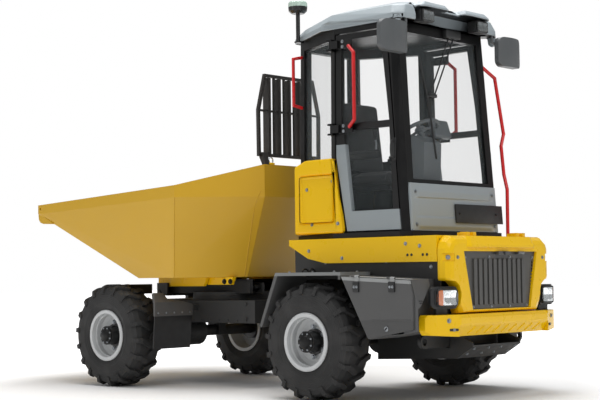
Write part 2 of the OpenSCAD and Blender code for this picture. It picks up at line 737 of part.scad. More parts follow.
// Grab rail between the two hinge arms
module door_bar() {
    y0 = cab_half + 16 + c;
    difference() {
        tube([[door_x0 + 150, y0 - 12, hinge_zs[0] + 8], [door_x0 + 170, y0 + 14, hinge_zs[0] + 10],
            [door_x0 + 228, y0 + 26, hinge_zs[0] + 55], [door_x0 + 228, y0 + 26, hinge_zs[1] - 80],
            [door_x0 + 170, y0 + 14, hinge_zs[1] - 26], [door_x0 + 150, y0 - 12, hinge_zs[1] - 24]], 14);
        box([door_x0, cab_half - 60, cab_z], [door_x0 + 400, y0, roof_z]);
    }
}

module door_near() color("#8a9296") mirror([0, 1, 0]) door_body();
module door_far() color("#8a9296") door_body();
module door_near_glass() color("#9fb4bb") mirror([0, 1, 0]) door_pane();
module door_far_glass() color("#9fb4bb") door_pane();
module door_near_rail() color("#e01b1b") mirror([0, 1, 0]) door_bar();
module door_far_rail() color("#e01b1b") door_bar();

// Skip end half of the frame
module front_frame() color("#3c3c3a") {
    difference() {
        union() {
            both() box([ax_f - 390, 340, 540], [pivot_x - 150, 440, 730]);
            box([pivot_x - 230, -440, 540], [pivot_x - 150, 440, 730]);
            box([ax_f - 390, -440, 540], [ax_f - 330, 440, 730]);
            box([ax_f - 330, -340, 700], [pivot_x - 230, 340, 730]);
            translate([slew_x, 0, 730]) cylinder(r = 380, h = 35);
            translate([pivot_x, 0, 500 + c]) cylinder(r = 92, h = 220 - 2 * c);
            translate([pivot_x - 160, 0, st_z]) rotate([0, 90, 0]) cylinder(r = 88, h = 130);
            for (z = [st_z - 48, st_z + 30]) plan(z, z + 18) polygon([[pivot_x - 60, 40], [pivot_x - 105,
                160],
                [st_eye[0] - 35, st_eye[1] + 35], [st_eye[0] + 35, st_eye[1] + 35], [pivot_x + 20, 60]]);
            both() box([ax_f - 435, 100, 780], [ax_f - 395, 500, 868]);
            both() box([ax_f - 430, 345, 600], [ax_f - 388, 435, 790]);
            both() box([ax_f + 560, 440, 640], [ax_f + 600, 500, 690]);
        }
        translate([pivot_x, 0, 400]) cylinder(r = pivot_d / 2 + fit, h = 400);
    }
}

module front_axle() color("#2c2c2c") axle_at(ax_f, 540);

// Plates behind the skip end wheels, the upper panel leaning over the wheel, a flap below
module mudguards() color("#2a2a2a") {
    both() {
        intersection() {
            side(500, 925) polygon([[ax_f + 568, 604], [ax_f + 588, 604], [ax_f + 588, 722], [ax_f + 528,
                800],
                [ax_f + 512, 788], [ax_f + 568, 714]]);
            front(ax_f + 400, ax_f + 700) polygon([[500, 604], [925, 604], [925, 722], [892, 800], [785, 800],
                [768, 750], [597, 724], [500, 700]]);
        }
        side(505, 920) polygon([[ax_f + 548, 330], [ax_f + 558, 330], [ax_f + 582, 610], [ax_f + 572, 610]]);
    }
}

// Turning console that carries the tipping hinge
module turntable() color("#343432") {
    nose = hinge_x - 28;
    translate([slew_x, 0, 765 + c]) cylinder(r = 380, h = 35);
    box([nose, -beam_y - 35, 765], [hinge_x + 110, beam_y + 35, 840]);
    both() {
        box([nose, beam_y, 785], [slew_x + 440, beam_y + 35, 905]);
        box([nose, lug_y + 42, 775], [hinge_x + 110, lug_y + 62, 880]);
        box([hinge_x + 80, beam_y + 30, 765], [hinge_x + 110, lug_y + 50, 800]);
        rod_y(hinge_x, hinge_z, 20, beam_y + 25, lug_y + 67);
        rod_y(tip_base[0], tip_base[1], 18, tip_y - 70, beam_y + 5);
        box([tip_base[0] - 45, tip_y - 75, 785], [tip_base[0] + 45, tip_y - 50, 875]);
    }
}

// Load skip with its turned in back
module skip_form(d, top) {
    hull() {
        plan(floor_z + d, floor_z + d + 1) polygon(mirrored([[f_front[0] + 0.2 * d, f_front[1] - d],
            [f_bend[0], f_bend[1] - d], [f_back[0] - d, f_back[1] - 0.4 * d]]));
        plan(lip_plane_z + d, lip_plane_z + d + 1) polygon(mirrored([[lip_x + 0.2 * d, skip_half - d],
            [lip_x + 60, skip_half - d]]));
        plan(fold_bend_z, top) polygon(mirrored([[lip_x + d, skip_half - d], [r_bend[0] - 0.1 * d,
            r_bend[1] - d],
            [r_back[0] - d, r_back[1] - 0.5 * d]]));
    }
}

module skip_tub() color("#d9ae1e") {
    difference() {
        union() {
            skip_form(0, 2000);
            side(-skip_half + 4, skip_half - 4) polygon([[ramp_x, ramp_z], [lip_x + 75, ramp_z + 4],
                [lip_x + 28, ramp_z + 18], [lip_x + 6, ramp_z + 44], [lip_x, ramp_z + 76], [lip_x,
                    lip_plane_z + 4],
                [lip_x + 20, lip_plane_z + 4], [ramp_x, ramp_z + 5]]);
        }
        difference() {
            skip_form(plate, 2001);
            side(-1000, 1000) polygon([[lip_x - 10, fold_lip_z], [r_bend[0], fold_bend_z], [r_back[0] + 10,
                fold_back_z],
                [r_back[0] + 10, 2010], [lip_x - 10, 2010]]);
        }
        plan(lip_plane_z + plate, 2002) polygon(mirrored([[lip_x - 50, skip_half - 42], [r_bend[0] - 12,
            r_bend[1] - 42],
            [r_back[0] - 42, r_back[1] - 18]]));
        side(-1000, 1000) polygon([[lip_x - 10, rim_lip_z], [r_bend[0], rim_bend_z], [r_back[0], rim_back_z],
            [r_back[0] + 10, 2010], [lip_x - 10, 2010]]);
        rod_y(lip_x + 32, rim_lip_z - 34, 11, -skip_half - 10, skip_half + 10);
    }
}

// Rails and hinge lugs under the skip
module skip_rails() color("#d9ae1e") {
    fz = floor_z - c;
    ru = fz + slope * (f_front[0] - hinge_x);
    difference() {
        both() {
            side(lug_y, lug_y + 34) polygon([[f_front[0] + 250, fz], [f_front[0], fz], [hinge_x - 40,
                ru + slope * 40],
                [hinge_x - 38, hinge_z - 10], [hinge_x - 15, hinge_z - 38], [hinge_x + 20, hinge_z - 34],
                [hinge_x + 60, hinge_z + 40], [f_front[0], 880]]);
            side(470, 500) polygon([[f_front[0], fz], [slew_x + 155, fz], [slew_x + 115, 850],
                [f_front[0] + 15, 850]]);
            side(420, 460) polygon([[slew_x + 80, fz], [slew_x + 430, fz], [slew_x + 400, 862],
                [slew_x + 120, 862]]);
            for (y = [tip_y - 52, tip_y + 34]) side(y, y + 18) polygon([[tip_eye[0] - 60,
                fz + slope * (f_front[0] - tip_eye[0] + 60)],
                [tip_eye[0] - 40, tip_eye[1] - 30], [tip_eye[0] + 35, tip_eye[1] - 30],
                [f_front[0], fz]]);
        }
        both() rod_y(hinge_x, hinge_z, 20 + fit, lug_y - 10, lug_y + 50);
        skip_form(-c, 2000);
    }
}

// Bar guard standing on the back wall
module skip_guard() color("#2c2823") {
    gx = r_back[0] - 62;
    difference() {
        front(gx - 13, gx + 13) polygon([[-384, 1931], [384, 1931], [388, 2322], [306, 2629], [-306, 2629],
            [-388, 2322]]);
        front(gx - 14, gx + 14) polygon([[-358, 1957], [358, 1957], [362, 2318], [286, 2603], [-286, 2603],
            [-362, 2318]]);
    }
    for (y = [-186, -62, 62, 186]) box([gx - 9, y - 9, 1950], [gx + 9, y + 9, 2610]);
    box([gx - 7, -366, 2309], [gx + 7, 366, 2327]);
    both() side(290, 350) polygon([[r_back[0] - 40, rim_back_z - 40 * rim_k + c], [r_back[0] - 6,
        rim_back_z - 6 * rim_k + c],
        [gx + 18, 1965], [gx - 18, 1965], [gx - 18, 1925]]);
}

module along(p, ang, y) {
    translate([p[0], y, p[1]]) rotate([0, 90 - ang, 0]) children();
}

module tip_barrels() color("#2a2a2a") {
    both() difference() {
        along(tip_base, tip_ang, tip_y) union() {
            cylinder(r = 30, h = tip_len - 240);
            rotate([90, 0, 0]) cylinder(r = 30, h = 56, center = true);
        }
        along(tip_base, tip_ang, tip_y) translate([0, 0, 40]) cylinder(r = 17 + fit, h = tip_len);
        rod_y(tip_base[0], tip_base[1], 18 + fit, tip_y - 100, tip_y + 100);
    }
}

module tip_rods() color("#b8bcc0") {
    both() along(tip_base, tip_ang, tip_y) {
        translate([0, 0, 220]) cylinder(r = 17, h = tip_len - 230);
        translate([0, 0, tip_len]) rotate([90, 0, 0]) cylinder(r = 26, h = 50, center = true);
    }
}

module along_flat(p, ang, z) {
    translate([p[0], p[1], z]) rotate([0, 90, ang]) children();
}

module steer_barrel() color("#2a2a2a") {
    difference() {
        along_flat(st_base, st_ang, st_z) union() {
            cylinder(r = 28, h = st_len - 150);
            rotate([0, 90, 0]) cylinder(r = 32, h = 70, center = true);
        }
        along_flat(st_base, st_ang, st_z) translate([0, 0, 45]) cylinder(r = 15 + fit, h = st_len);
        translate([st_base[0], st_base[1], st_z - 60]) cylinder(r = 18 + fit, h = 120);
    }
}

module steer_rod() color("#b8bcc0") {
    along_flat(st_base, st_ang, st_z) {
        translate([0, 0, 190]) cylinder(r = 15, h = st_len - 200);
        translate([0, 0, st_len]) rotate([0, 90, 0]) cylinder(r = 26, h = 46, center = true);
    }
}

module tyre_front_near() color("#353535") wheel_at(ax_f, -1) tyre_body();
module tyre_front_far() color("#353535") wheel_at(ax_f, 1) tyre_body();
module tyre_rear_near() color("#353535") wheel_at(ax_r, -1) tyre_body();
module tyre_rear_far() color("#353535") wheel_at(ax_r, 1) tyre_body();
module rim_front_near() color("#a8a8a8") wheel_at(ax_f, -1) rim_body();
module rim_front_far() color("#a8a8a8") wheel_at(ax_f, 1) rim_body();
module rim_rear_near() color("#a8a8a8") wheel_at(ax_r, -1) rim_body();
module rim_rear_far() color("#a8a8a8") wheel_at(ax_r, 1) rim_body();

rear_frame();
bulkheads();
tie_eyes();
rear_axle();
engine_block();
engine_cover();
body_panels();
bumper();
headlamps();
rear_fenders();
tool_box();
fuel_tank();
cab_base();
cab_frame();
cab_roof();
cab_front_panel();
corner_fairings();
cab_glass();
mirrors();
beacon();
hand_rails();
seat();
seat_cushions();
steering_console();
hood_fascia();
radiator_grille();
door_near();
door_near_glass();
door_near_rail();
door_far();
door_far_glass();
door_far_rail();
box_flap();
front_frame();
front_axle();
mudguards();
turntable();
skip_tub();
skip_rails();
skip_guard();
tip_barrels();
tip_rods();
steer_barrel();
steer_rod();
tyre_front_near();
tyre_front_far();
tyre_rear_near();
tyre_rear_far();
rim_front_near();
rim_front_far();
rim_rear_near();
rim_rear_far();
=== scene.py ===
"""Looks of the site dumper: materials, fittings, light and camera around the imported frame."""
import json
import math

import bmesh
import bpy
from mathutils import Matrix, Vector

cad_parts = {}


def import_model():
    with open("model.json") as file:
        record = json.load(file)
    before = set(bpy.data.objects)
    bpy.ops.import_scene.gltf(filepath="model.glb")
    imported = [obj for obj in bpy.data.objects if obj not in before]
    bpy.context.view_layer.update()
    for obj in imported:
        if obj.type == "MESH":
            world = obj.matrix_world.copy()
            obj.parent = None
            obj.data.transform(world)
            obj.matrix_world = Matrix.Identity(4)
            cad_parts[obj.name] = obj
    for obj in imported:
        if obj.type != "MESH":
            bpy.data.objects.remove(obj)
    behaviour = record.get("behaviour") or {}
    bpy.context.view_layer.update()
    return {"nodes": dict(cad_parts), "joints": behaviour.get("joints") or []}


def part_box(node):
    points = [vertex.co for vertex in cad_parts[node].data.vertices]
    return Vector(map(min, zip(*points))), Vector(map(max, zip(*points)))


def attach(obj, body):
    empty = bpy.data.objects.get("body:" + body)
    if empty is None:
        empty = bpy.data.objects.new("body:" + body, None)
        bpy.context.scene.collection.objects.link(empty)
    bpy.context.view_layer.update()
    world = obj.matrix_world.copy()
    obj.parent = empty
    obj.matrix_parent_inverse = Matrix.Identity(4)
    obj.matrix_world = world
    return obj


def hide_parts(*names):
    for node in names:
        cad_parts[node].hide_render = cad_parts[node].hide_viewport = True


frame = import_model()
NODES = frame["nodes"]
JOINTS = {j["name"]: j for j in frame["joints"]}
UP = Vector((0, 0, 1))
# The two sides of the machine and the sign of y on each
HANDS = (("near", -1), ("far", 1))


def joint_at(name):
    """Place of a joint at rest."""
    return Vector(JOINTS[name]["pos_m"])


# Materials

def srgb(code):
    """Linear colour of a hex code."""
    parts = [int(code[i:i + 2], 16) / 255 for i in (1, 3, 5)]
    return [p / 12.92 if p <= 0.04045 else ((p + 0.055) / 1.055) ** 2.4 for p in parts] + [1.0]


def shade(colour, factor):
    """A colour made lighter or darker."""
    return [min(1.0, v * factor) for v in colour[:3]] + [1.0]


class Look:
    """A procedural material, built up node by node."""

    def __init__(self, name):
        self.mat = bpy.data.materials.new(name)
        self.mat.use_nodes = True
        self.tree = self.mat.node_tree
        self.bsdf = self.tree.nodes["Principled BSDF"]
        self.coords = self.node("ShaderNodeTexCoord").outputs["Object"]

    def node(self, kind, **settings):
        made = self.tree.nodes.new(kind)
        for key, value in settings.items():
            setattr(made, key, value)
        return made

    def link(self, source, target):
        self.tree.links.new(source, target)

    def set(self, **values):
        for key, value in values.items():
            self.bsdf.inputs[key.replace("_", " ").title()].default_value = value

    def noise(self, scale, detail=3.0, stretch=(1, 1, 1)):
        squeeze = self.node("ShaderNodeMapping")
        squeeze.inputs["Scale"].default_value = stretch
        self.link(self.coords, squeeze.inputs["Vector"])
        texture = self.node("ShaderNodeTexNoise")
        texture.inputs["Scale"].default_value = scale
        texture.inputs["Detail"].default_value = detail
        self.link(squeeze.outputs["Vector"], texture.inputs["Vector"])
        return texture.outputs["Fac"]

    def spread(self, value, low, high, start=0.3, end=0.7):
        ranged = self.node("ShaderNodeMapRange")
        for key, number in (("From Min", start), ("From Max", end), ("To Min", low), ("To Max", high)):
            ranged.inputs[key].default_value = number
        self.link(value, ranged.inputs["Value"])
        return ranged.outputs["Result"]

    def math(self, operation, a, b=0.0):
        made = self.node("ShaderNodeMath", operation=operation)
        for i, value in enumerate((a, b)):
            if hasattr(value, "node"):
                self.link(value, made.inputs[i])
            else:
                made.inputs[i].default_value = value
        return made.outputs[0]

    def along(self, direction):
        made = self.node("ShaderNodeVectorMath", operation="DOT_PRODUCT")
        made.inputs[1].default_value = direction
        self.link(self.coords, made.inputs[0])
        return made.outputs["Value"]

    def beyond(self, direction, limit):
        """1 on the far side of a plane, 0 on the near side."""
        return self.math("GREATER_THAN", self.along(direction), limit)

    def radius(self, centre, axis="Y"):
        """Distance from an axis through a point."""
        moved = self.node("ShaderNodeVectorMath", operation="SUBTRACT")
        moved.inputs[1].default_value = centre
        self.link(self.coords, moved.inputs[0])
        flat = self.node("ShaderNodeVectorMath", operation="MULTIPLY")
        flat.inputs[1].default_value = [0 if name == axis else 1 for name in "XYZ"]
        self.link(moved.outputs[0], flat.inputs[0])
        length = self.node("ShaderNodeVectorMath", operation="LENGTH")
        self.link(flat.outputs[0], length.inputs[0])
        return length.outputs["Value"]

    def mix(self, factor, a, b):
        made = self.node("ShaderNodeMix", data_type="RGBA")
        for socket, value in ((made.inputs[0], factor), (made.inputs[6], a), (made.inputs[7], b)):
            if hasattr(value, "node"):
                self.link(value, socket)
            else:
                socket.default_value = value
        return made.outputs[2]

    def mottled(self, colour, amount, scale=2.5):
        """A colour that drifts a little over the surface."""
        drift = self.spread(self.noise(scale), 0, 1)
        return self.mix(drift, shade(colour, 1 - amount), shade(colour, 1 + amount))

    def turned_normal(self, source, target):
        """Node that takes a normal from one space to another."""
        return self.node("ShaderNodeVectorTransform", vector_type="NORMAL",
                         convert_from=source, convert_to=target)

    def colour(self, source):
        self.link(source, self.bsdf.inputs["Base Color"])

    def rough(self, low, high, scale=14.0):
        self.link(self.spread(self.noise(scale), low, high), self.bsdf.inputs["Roughness"])

    def relief(self, height, distance, strength=1.0, edge=0.0):
        """Bump from a height, on edges rounded by the given radius."""
        bump = self.node("ShaderNodeBump")
        bump.inputs["Strength"].default_value = strength
        bump.inputs["Distance"].default_value = distance
        self.link(height, bump.inputs["Height"])
        if edge:
            rounding = self.node("ShaderNodeBevel", samples=4)
            rounding.inputs["Radius"].default_value = edge
            self.link(rounding.outputs[0], bump.inputs["Normal"])
        self.link(bump.outputs[0], self.bsdf.inputs["Normal"])


def paint(name, code, rough=(0.30, 0.40), coat=0.25, tint=0.02, edge=0.004, shine=0.5):
    """Sprayed paint with faint orange peel."""
    look = Look(name)
    look.colour(look.mottled(srgb(code), tint))
    look.rough(*rough)
    look.bsdf.inputs["Specular IOR Level"].default_value = shine
    look.relief(look.noise(260, 1), 0.0001, 0.08, edge)
    look.bsdf.inputs["Coat Weight"].default_value = coat
    look.bsdf.inputs["Coat Roughness"].default_value = 0.12
    return look.mat


def plastic(name, code, rough=(0.48, 0.62), grain=420, edge=0.003):
    """Moulded plastic with a leather-like grain."""
    look = Look(name)
    look.colour(look.mottled(srgb(code), 0.07, 5))
    look.rough(*rough)
    look.relief(look.noise(grain, 2), 0.0004, 0.5, edge)
    return look.mat


def metal(name, code, rough=(0.18, 0.32), lines=(1, 1, 1), edge=0.001):
    """Bare metal with a fine turned or ground finish."""
    look = Look(name)
    look.set(metallic=1.0)
    look.colour(look.mottled(srgb(code), 0.06, 9))
    look.rough(*rough, 40)
    look.relief(look.noise(180, 2, lines), 0.0002, 0.3, edge)
    return look.mat


def glass(name, code, clear, edge_on):
    """Thin clear pane that mirrors more at a flat angle."""
    look = Look(name)
    look.set(roughness=0.03)
    look.colour(look.mottled(srgb(code), 0.03, 1.5))
    facing = look.node("ShaderNodeLayerWeight")
    facing.inputs["Blend"].default_value = 0.35
    look.link(look.spread(facing.outputs["Facing"], clear, edge_on, 0.0, 1.0), look.bsdf.inputs["Alpha"])
    return look.mat


def rubber(name, centre, half_width):
    """Dusty tyre rubber with fine rings on the side walls."""
    look = Look(name)
    radius = look.radius(centre)
    dust = look.spread(look.noise(7, 5), 0, 1, 0.4, 0.75)
    look.colour(look.mix(dust, srgb("#232323"), srgb("#353434")))
    look.rough(0.62, 0.85)
    off = look.math("ABSOLUTE", look.math("SUBTRACT", look.along((0, 1, 0)), centre[1]))
    side = look.math("GREATER_THAN", off, half_width * 0.82)
    rings = look.math("MULTIPLY", look.math("SINE", look.math("MULTIPLY", radius, 420)), side)
    grain = look.math("MULTIPLY", look.noise(300, 2), 0.4)
    look.relief(look.math("ADD", rings, grain), 0.0012, 0.5)
    return look.mat


def cloth(name, code, pitch=0.004):
    """Woven seat cover."""
    look = Look(name)
    look.colour(look.mottled(srgb(code), 0.18, 30))
    look.set(sheen_weight=0.3)
    look.rough(0.8, 0.95)
    turn = math.tau / pitch
    threads = [look.along(axis) for axis in ((1, 1, 0), (1, -1, 0.7))]
    waves = [look.math("SINE", look.math("MULTIPLY", thread, turn)) for thread in threads]
    look.relief(look.math("MULTIPLY", *waves), 0.0006, 0.6)
    return look.mat


YELLOW = paint("yellow paint", "#fbc900", (0.26, 0.34), 0.12, 0.012, 0.008, 0.28)
DARK = paint("dark paint", "#343434", (0.42, 0.55), 0.0, 0.04, 0.004, 0.3)
GREY = paint("grey paint", "#555555", (0.40, 0.52), 0.0, 0.03, 0.004, 0.35)
PALE = paint("pale paint", "#b4b6b6", (0.38, 0.5), 0.08)
BLACK = paint("black paint", "#0a0a0b", (0.34, 0.46), 0.0, 0.04, 0.004, 0.25)
RED = paint("red paint", "#d81418", (0.25, 0.35), 0.4, 0.04, 0.002)
PLASTIC = plastic("black plastic", "#1a1b1c")
TRIM = plastic("grey plastic", "#5b6064", (0.40, 0.52))
MIRROR_BACK = plastic("mirror shell", "#55585a", (0.42, 0.55))
GRILLE = paint("grille paint", "#4a4947", (0.42, 0.55), 0.05)
GUARD = paint("guard paint", "#24211e", (0.45, 0.6), 0.05)
CAST = paint("cast housing", "#232323", (0.55, 0.72), 0.0, 0.12, 0.004)
STEEL = metal("ground rod", "#c6cace", (0.10, 0.2))
BOLT = metal("zinc bolt", "#8e9296", (0.3, 0.45))
CHROME = metal("lamp reflector", "#e9ecee", (0.06, 0.14))
SMOKED = metal("smoked reflector", "#4a4d50", (0.1, 0.2))
GLASS = glass("window glass", "#8c9597", 0.025, 0.22)
LENS = glass("lamp lens", "#cfd6d6", 0.10, 0.45)
AMBER = glass("amber lens", "#e87410", 0.62, 0.85)
CLOTH = cloth("seat cloth", "#232426")


def rim_look(name, centre):
    """Silver rim with a black hub."""
    hub_radius = 0.0965
    look = Look(name)
    hub = look.math("LESS_THAN", look.radius(centre), hub_radius)
    silver = look.mottled(srgb("#cacccd"), 0.03, 6)
    look.colour(look.mix(hub, silver, srgb("#151515")))
    look.rough(0.34, 0.48)
    look.relief(look.noise(220, 2), 0.0002, 0.3, 0.004)
    return look.mat


def door_look(name):
    """Cab door: black frame with a grey lower panel."""
    sill_z = 1.415
    panel_top = 1.93
    left_edge, left_x = (-0.99265, 0.0, -0.12105), -1.4265
    look = Look(name)
    low = look.beyond((0, 0, -1), -sill_z)
    left = look.math("MULTIPLY", look.beyond(left_edge, left_x), look.beyond((0, 0, -1), -panel_top))
    panel = look.math("MAXIMUM", low, left)
    look.colour(look.mix(panel, srgb("#0a0a0b"), look.mottled(srgb("#98a0a4"), 0.03)))
    look.bsdf.inputs["Specular IOR Level"].default_value = 0.3
    look.rough(0.30, 0.42)
    look.relief(look.noise(260, 1), 0.0002, 0.25, 0.004)
    return look.mat


def skip_look(name):
    """Skip paint in a rougher finish, its yellow painted darker than the body's as painted shade; the turned
    in corner sheets are shaded as one plane each.
    """
    sheet_out, sheet_side, sheet_down = 0.7794, 0.5697, 0.2606
    within = math.cos(math.radians(10))
    look = Look(name)
    # painted shade: the skip's yellow is a darker copy of the body's yellow
    look.colour(look.mottled(srgb("#d8a91a"), 0.012))
    look.rough(0.36, 0.46)
    look.bsdf.inputs["Coat Weight"].default_value = 0.1
    look.relief(look.noise(260, 1), 0.0001, 0.08, 0.006)
    normal = look.bsdf.inputs["Normal"].links[0].from_socket
    for side in (-1, 1):
        sheet_normal = Vector((sheet_out, sheet_side * side, -sheet_down))
        local = look.turned_normal("WORLD", "OBJECT")
        look.link(look.node("ShaderNodeNewGeometry").outputs["True Normal"], local.inputs[0])
        facing = look.node("ShaderNodeVectorMath", operation="DOT_PRODUCT")
        facing.inputs[1].default_value = sheet_normal
        look.link(local.outputs[0], facing.inputs[0])
        world_normal = look.turned_normal("OBJECT", "WORLD")
        world_normal.inputs[0].default_value = sheet_normal
        both = look.node("ShaderNodeMix", data_type="VECTOR")
        look.link(look.math("GREATER_THAN", facing.outputs["Value"], within), both.inputs[0])
        look.link(normal, both.inputs[4])
        look.link(world_normal.outputs[0], both.inputs[5])
        normal = both.outputs[1]
    look.link(normal, look.bsdf.inputs["Normal"])
    return look.mat


def beacon_look(name):
    """Black foot and pale green lens."""
    lens_height = 0.047
    lens_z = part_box("beacon")[1].z - lens_height
    look = Look(name)
    lens = look.beyond((0, 0, 1), lens_z)
    look.colour(look.mix(lens, srgb("#161616"), look.mottled(srgb("#b9cfc2"), 0.05, 12)))
    look.rough(0.2, 0.3)
    look.relief(look.math("SINE", look.math("MULTIPLY", look.along((0, 0, 1)), 900)), 0.0004, 0.4, 0.003)
    return look.mat


def fender_look(name):
    """Grey sheet with a painted highlight: its upper face is painted a lighter grey."""
    highlight_depth = 0.026
    look = Look(name)
    # painted highlight: the upper band of the fender is painted a lighter grey than the rest
    top = look.beyond((0, 0, 1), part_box("rear_fenders")[1].z - highlight_depth)
    look.colour(look.mix(top, look.mottled(srgb("#545454"), 0.04), look.mottled(srgb("#7e8080"), 0.05, 6)))
    look.rough(0.40, 0.52)
    look.relief(look.noise(260, 1), 0.0002, 0.25, 0.004)
    return look.mat


def flap_look(name):
    """Grey sheet with a painted highlight along its upper edge and painted shade on its lower part."""
    edge_line, edge_at, strip, fold_z = (0.0494, 0.0, 0.9988), 0.9907, 0.024, 0.606
    look = Look(name)
    # painted shade: the sheet below fold_z is painted a darker grey
    shaded_lower_grey, upper = [look.mottled(srgb(code), 0.03) for code in ("#4c4c4c", "#555555")]
    base = look.mix(look.beyond((0, 0, 1), fold_z), shaded_lower_grey, upper)
    # painted highlight: a pale strip is painted along the upper edge
    look.colour(look.mix(look.beyond(edge_line, edge_at - strip), base, look.mottled(srgb("#9a9c9c"), 0.04)))
    look.bsdf.inputs["Specular IOR Level"].default_value = 0.35
    look.rough(0.40, 0.52)
    look.relief(look.noise(260, 1), 0.0001, 0.08)
    return look.mat


def roof_look(name):
    """Pale moulding, black under the hoods and inside."""
    roof_z, hood_z, recess_x, recess_y = 2.832, 2.931, 1.683, 0.456
    look = Look(name)
    recess = look.math("MULTIPLY", look.beyond((1, 0, 0), recess_x), look.beyond((0, 0, -1), -hood_z))
    off = look.math("ABSOLUTE", look.along((0, 1, 0)))
    recess = look.math("MULTIPLY", recess, look.math("LESS_THAN", off, recess_y))
    dark = look.math("MAXIMUM", recess, look.beyond((0, 0, -1), -roof_z))
    dark = look.math("MULTIPLY", dark, look.beyond((0, 0, 1), roof_z - 0.01))
    look.colour(look.mix(dark, look.mottled(srgb("#a3adb2"), 0.02), srgb("#101011")))
    look.rough(0.34, 0.45)
    look.relief(look.noise(260, 1), 0.0001, 0.08, 0.004)
    return look.mat


def panel_look(name):
    """Grey front panel of the cab with its pressed band and swage, as relief."""
    # Each step has its depth and the shares of the panel's height between which it rises
    steps = ((0.018, 0.80, 1.0), (-0.010, 0.67, 0.72), (0.010, 0.26, 0.32), (-0.016, 0.0, 0.12))
    fade_from, fade_to = 0.44, 0.53
    low, high = [corner.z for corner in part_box("cab_front_panel")]
    look = Look(name)
    z = look.along((0, 0, 1))
    height = None
    for depth, start, end in steps:
        rise = look.spread(z, depth, 0.0, low + start * (high - low), low + end * (high - low))
        rise.node.interpolation_type = "SMOOTHSTEP"
        height = look.math("ADD", height, rise) if height else rise
    off = look.math("ABSOLUTE", look.along((0, 1, 0)))
    fade = look.spread(off, 1.0, 0.0, fade_from, fade_to)
    fade.node.interpolation_type = "SMOOTHSTEP"
    look.colour(look.mottled(srgb("#98a0a4"), 0.02))
    look.rough(0.30, 0.40)
    look.relief(look.math("MULTIPLY", height, fade), 1.0, 1.0)
    look.bsdf.inputs["Coat Weight"].default_value = 0.25
    look.bsdf.inputs["Coat Roughness"].default_value = 0.12
    return look.mat


def mudguard_look(name):
    """Painted upper panel over a black rubber flap."""
    panel_z = 0.604
    look = Look(name)
    panel = look.beyond((0, 0, 1), panel_z)
    look.colour(look.mix(panel, look.mottled(srgb("#1c1c1d"), 0.1, 9), look.mottled(srgb("#525150"), 0.05)))
    look.rough(0.45, 0.6)
    look.relief(look.noise(240, 2), 0.0003, 0.35, 0.004)
    return look.mat


DRESS = {
    "rear_frame": DARK, "bulkheads": DARK, "tie_eyes": DARK, "front_frame": DARK, "turntable": DARK,
    "body_panels": DARK, "rear_axle": CAST, "front_axle": CAST, "engine_block": CAST,
    "engine_cover": YELLOW, "bumper": YELLOW, "hood_fascia": YELLOW, "corner_fairings": YELLOW,
    "skip_tub": skip_look("skip paint with painted shade"), "skip_rails": YELLOW, "skip_guard": GUARD,
    "headlamps": PLASTIC, "tool_box": GREY, "box_flap": flap_look("flap"), "fuel_tank": GREY,
    "cab_base": BLACK, "cab_frame": BLACK, "cab_roof": roof_look("roof"),
    "cab_front_panel": panel_look("cab panel"),
    "cab_glass": GLASS, "door_near_glass": GLASS, "door_far_glass": GLASS, "mirrors": MIRROR_BACK,
    "hand_rails": RED, "door_near_rail": RED, "door_far_rail": RED, "seat": PLASTIC, "seat_cushions": CLOTH,
    "steering_console": TRIM, "radiator_grille": GRILLE, "mudguards": mudguard_look("mudguard"),
    "tip_barrels": BLACK, "tip_rods": STEEL, "steer_barrel": BLACK, "steer_rod": STEEL,
    "door_near": door_look("near door"), "door_far": door_look("far door"),
    "beacon": beacon_look("beacon"), "rear_fenders": fender_look("fender"),
}


def dress(name, mat):
    mesh = NODES[name].data
    mesh.materials.clear()
    mesh.materials.append(mat)


for end in ("front", "rear"):
    for hand in ("near", "far"):
        wheel = f"{end}_{hand}"
        centre = joint_at(f"wheel_{wheel}_spin")
        tyre_low, tyre_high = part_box(f"tyre_{wheel}")
        DRESS[f"tyre_{wheel}"] = rubber(f"tyre {wheel}", centre, (tyre_high.y - tyre_low.y) / 2)
        DRESS[f"rim_{wheel}"] = rim_look(f"rim {wheel}", centre)
for name, mat in DRESS.items():
    dress(name, mat)


def round_edges(name, width, clamp, segments=3):
    """Rounded edges on a sheet or moulding, after its flat faces are joined."""
    node = NODES[name]
    weld = node.modifiers.new("weld", "WELD")
    weld.merge_threshold = 0.00002
    join = node.modifiers.new("join", "DECIMATE")
    join.decimate_type = "DISSOLVE"
    join.angle_limit = math.radians(0.5)
    edge = node.modifiers.new("edge", "BEVEL")
    edge.width = width
    edge.segments = segments
    edge.limit_method = "ANGLE"
    edge.angle_limit = math.radians(20)
    edge.harden_normals = True
    edge.use_clamp_overlap = clamp


# Radii: a large one may run past its neighbours, a small one stops at them
FREE = {"corner_fairings": 0.020, "cab_roof": 0.012, "cab_front_panel": 0.008}
CLAMPED = {"engine_cover": 0.006, "mirrors": 0.010, "tool_box": 0.004, "box_flap": 0.004,
           "fuel_tank": 0.008}
for name, width in FREE.items():
    round_edges(name, width, False)
for name, width in CLAMPED.items():
    round_edges(name, width, True)


# Building fittings in mesh code

# Directions in which a ray meets the object from each side
NEAR, FAR, SKIP_END, ENGINE_END, ABOVE = (0, 1, 0), (0, -1, 0), (1, 0, 0), (-1, 0, 0), (0, 0, -1)


def touch(name, a, b, ray):
    """Point and normal where a ray from outside first meets a node, from its two free coordinates."""
    start = [a, b]
    axis = [i for i in range(3) if ray[i]][0]
    start.insert(axis, -6 * ray[axis])
    hit, at, normal, _ = NODES[name].ray_cast(Vector(start), Vector(ray))
    if not hit:
        raise ValueError(f"nothing of {name} lies at {a}, {b}")
    return at, normal


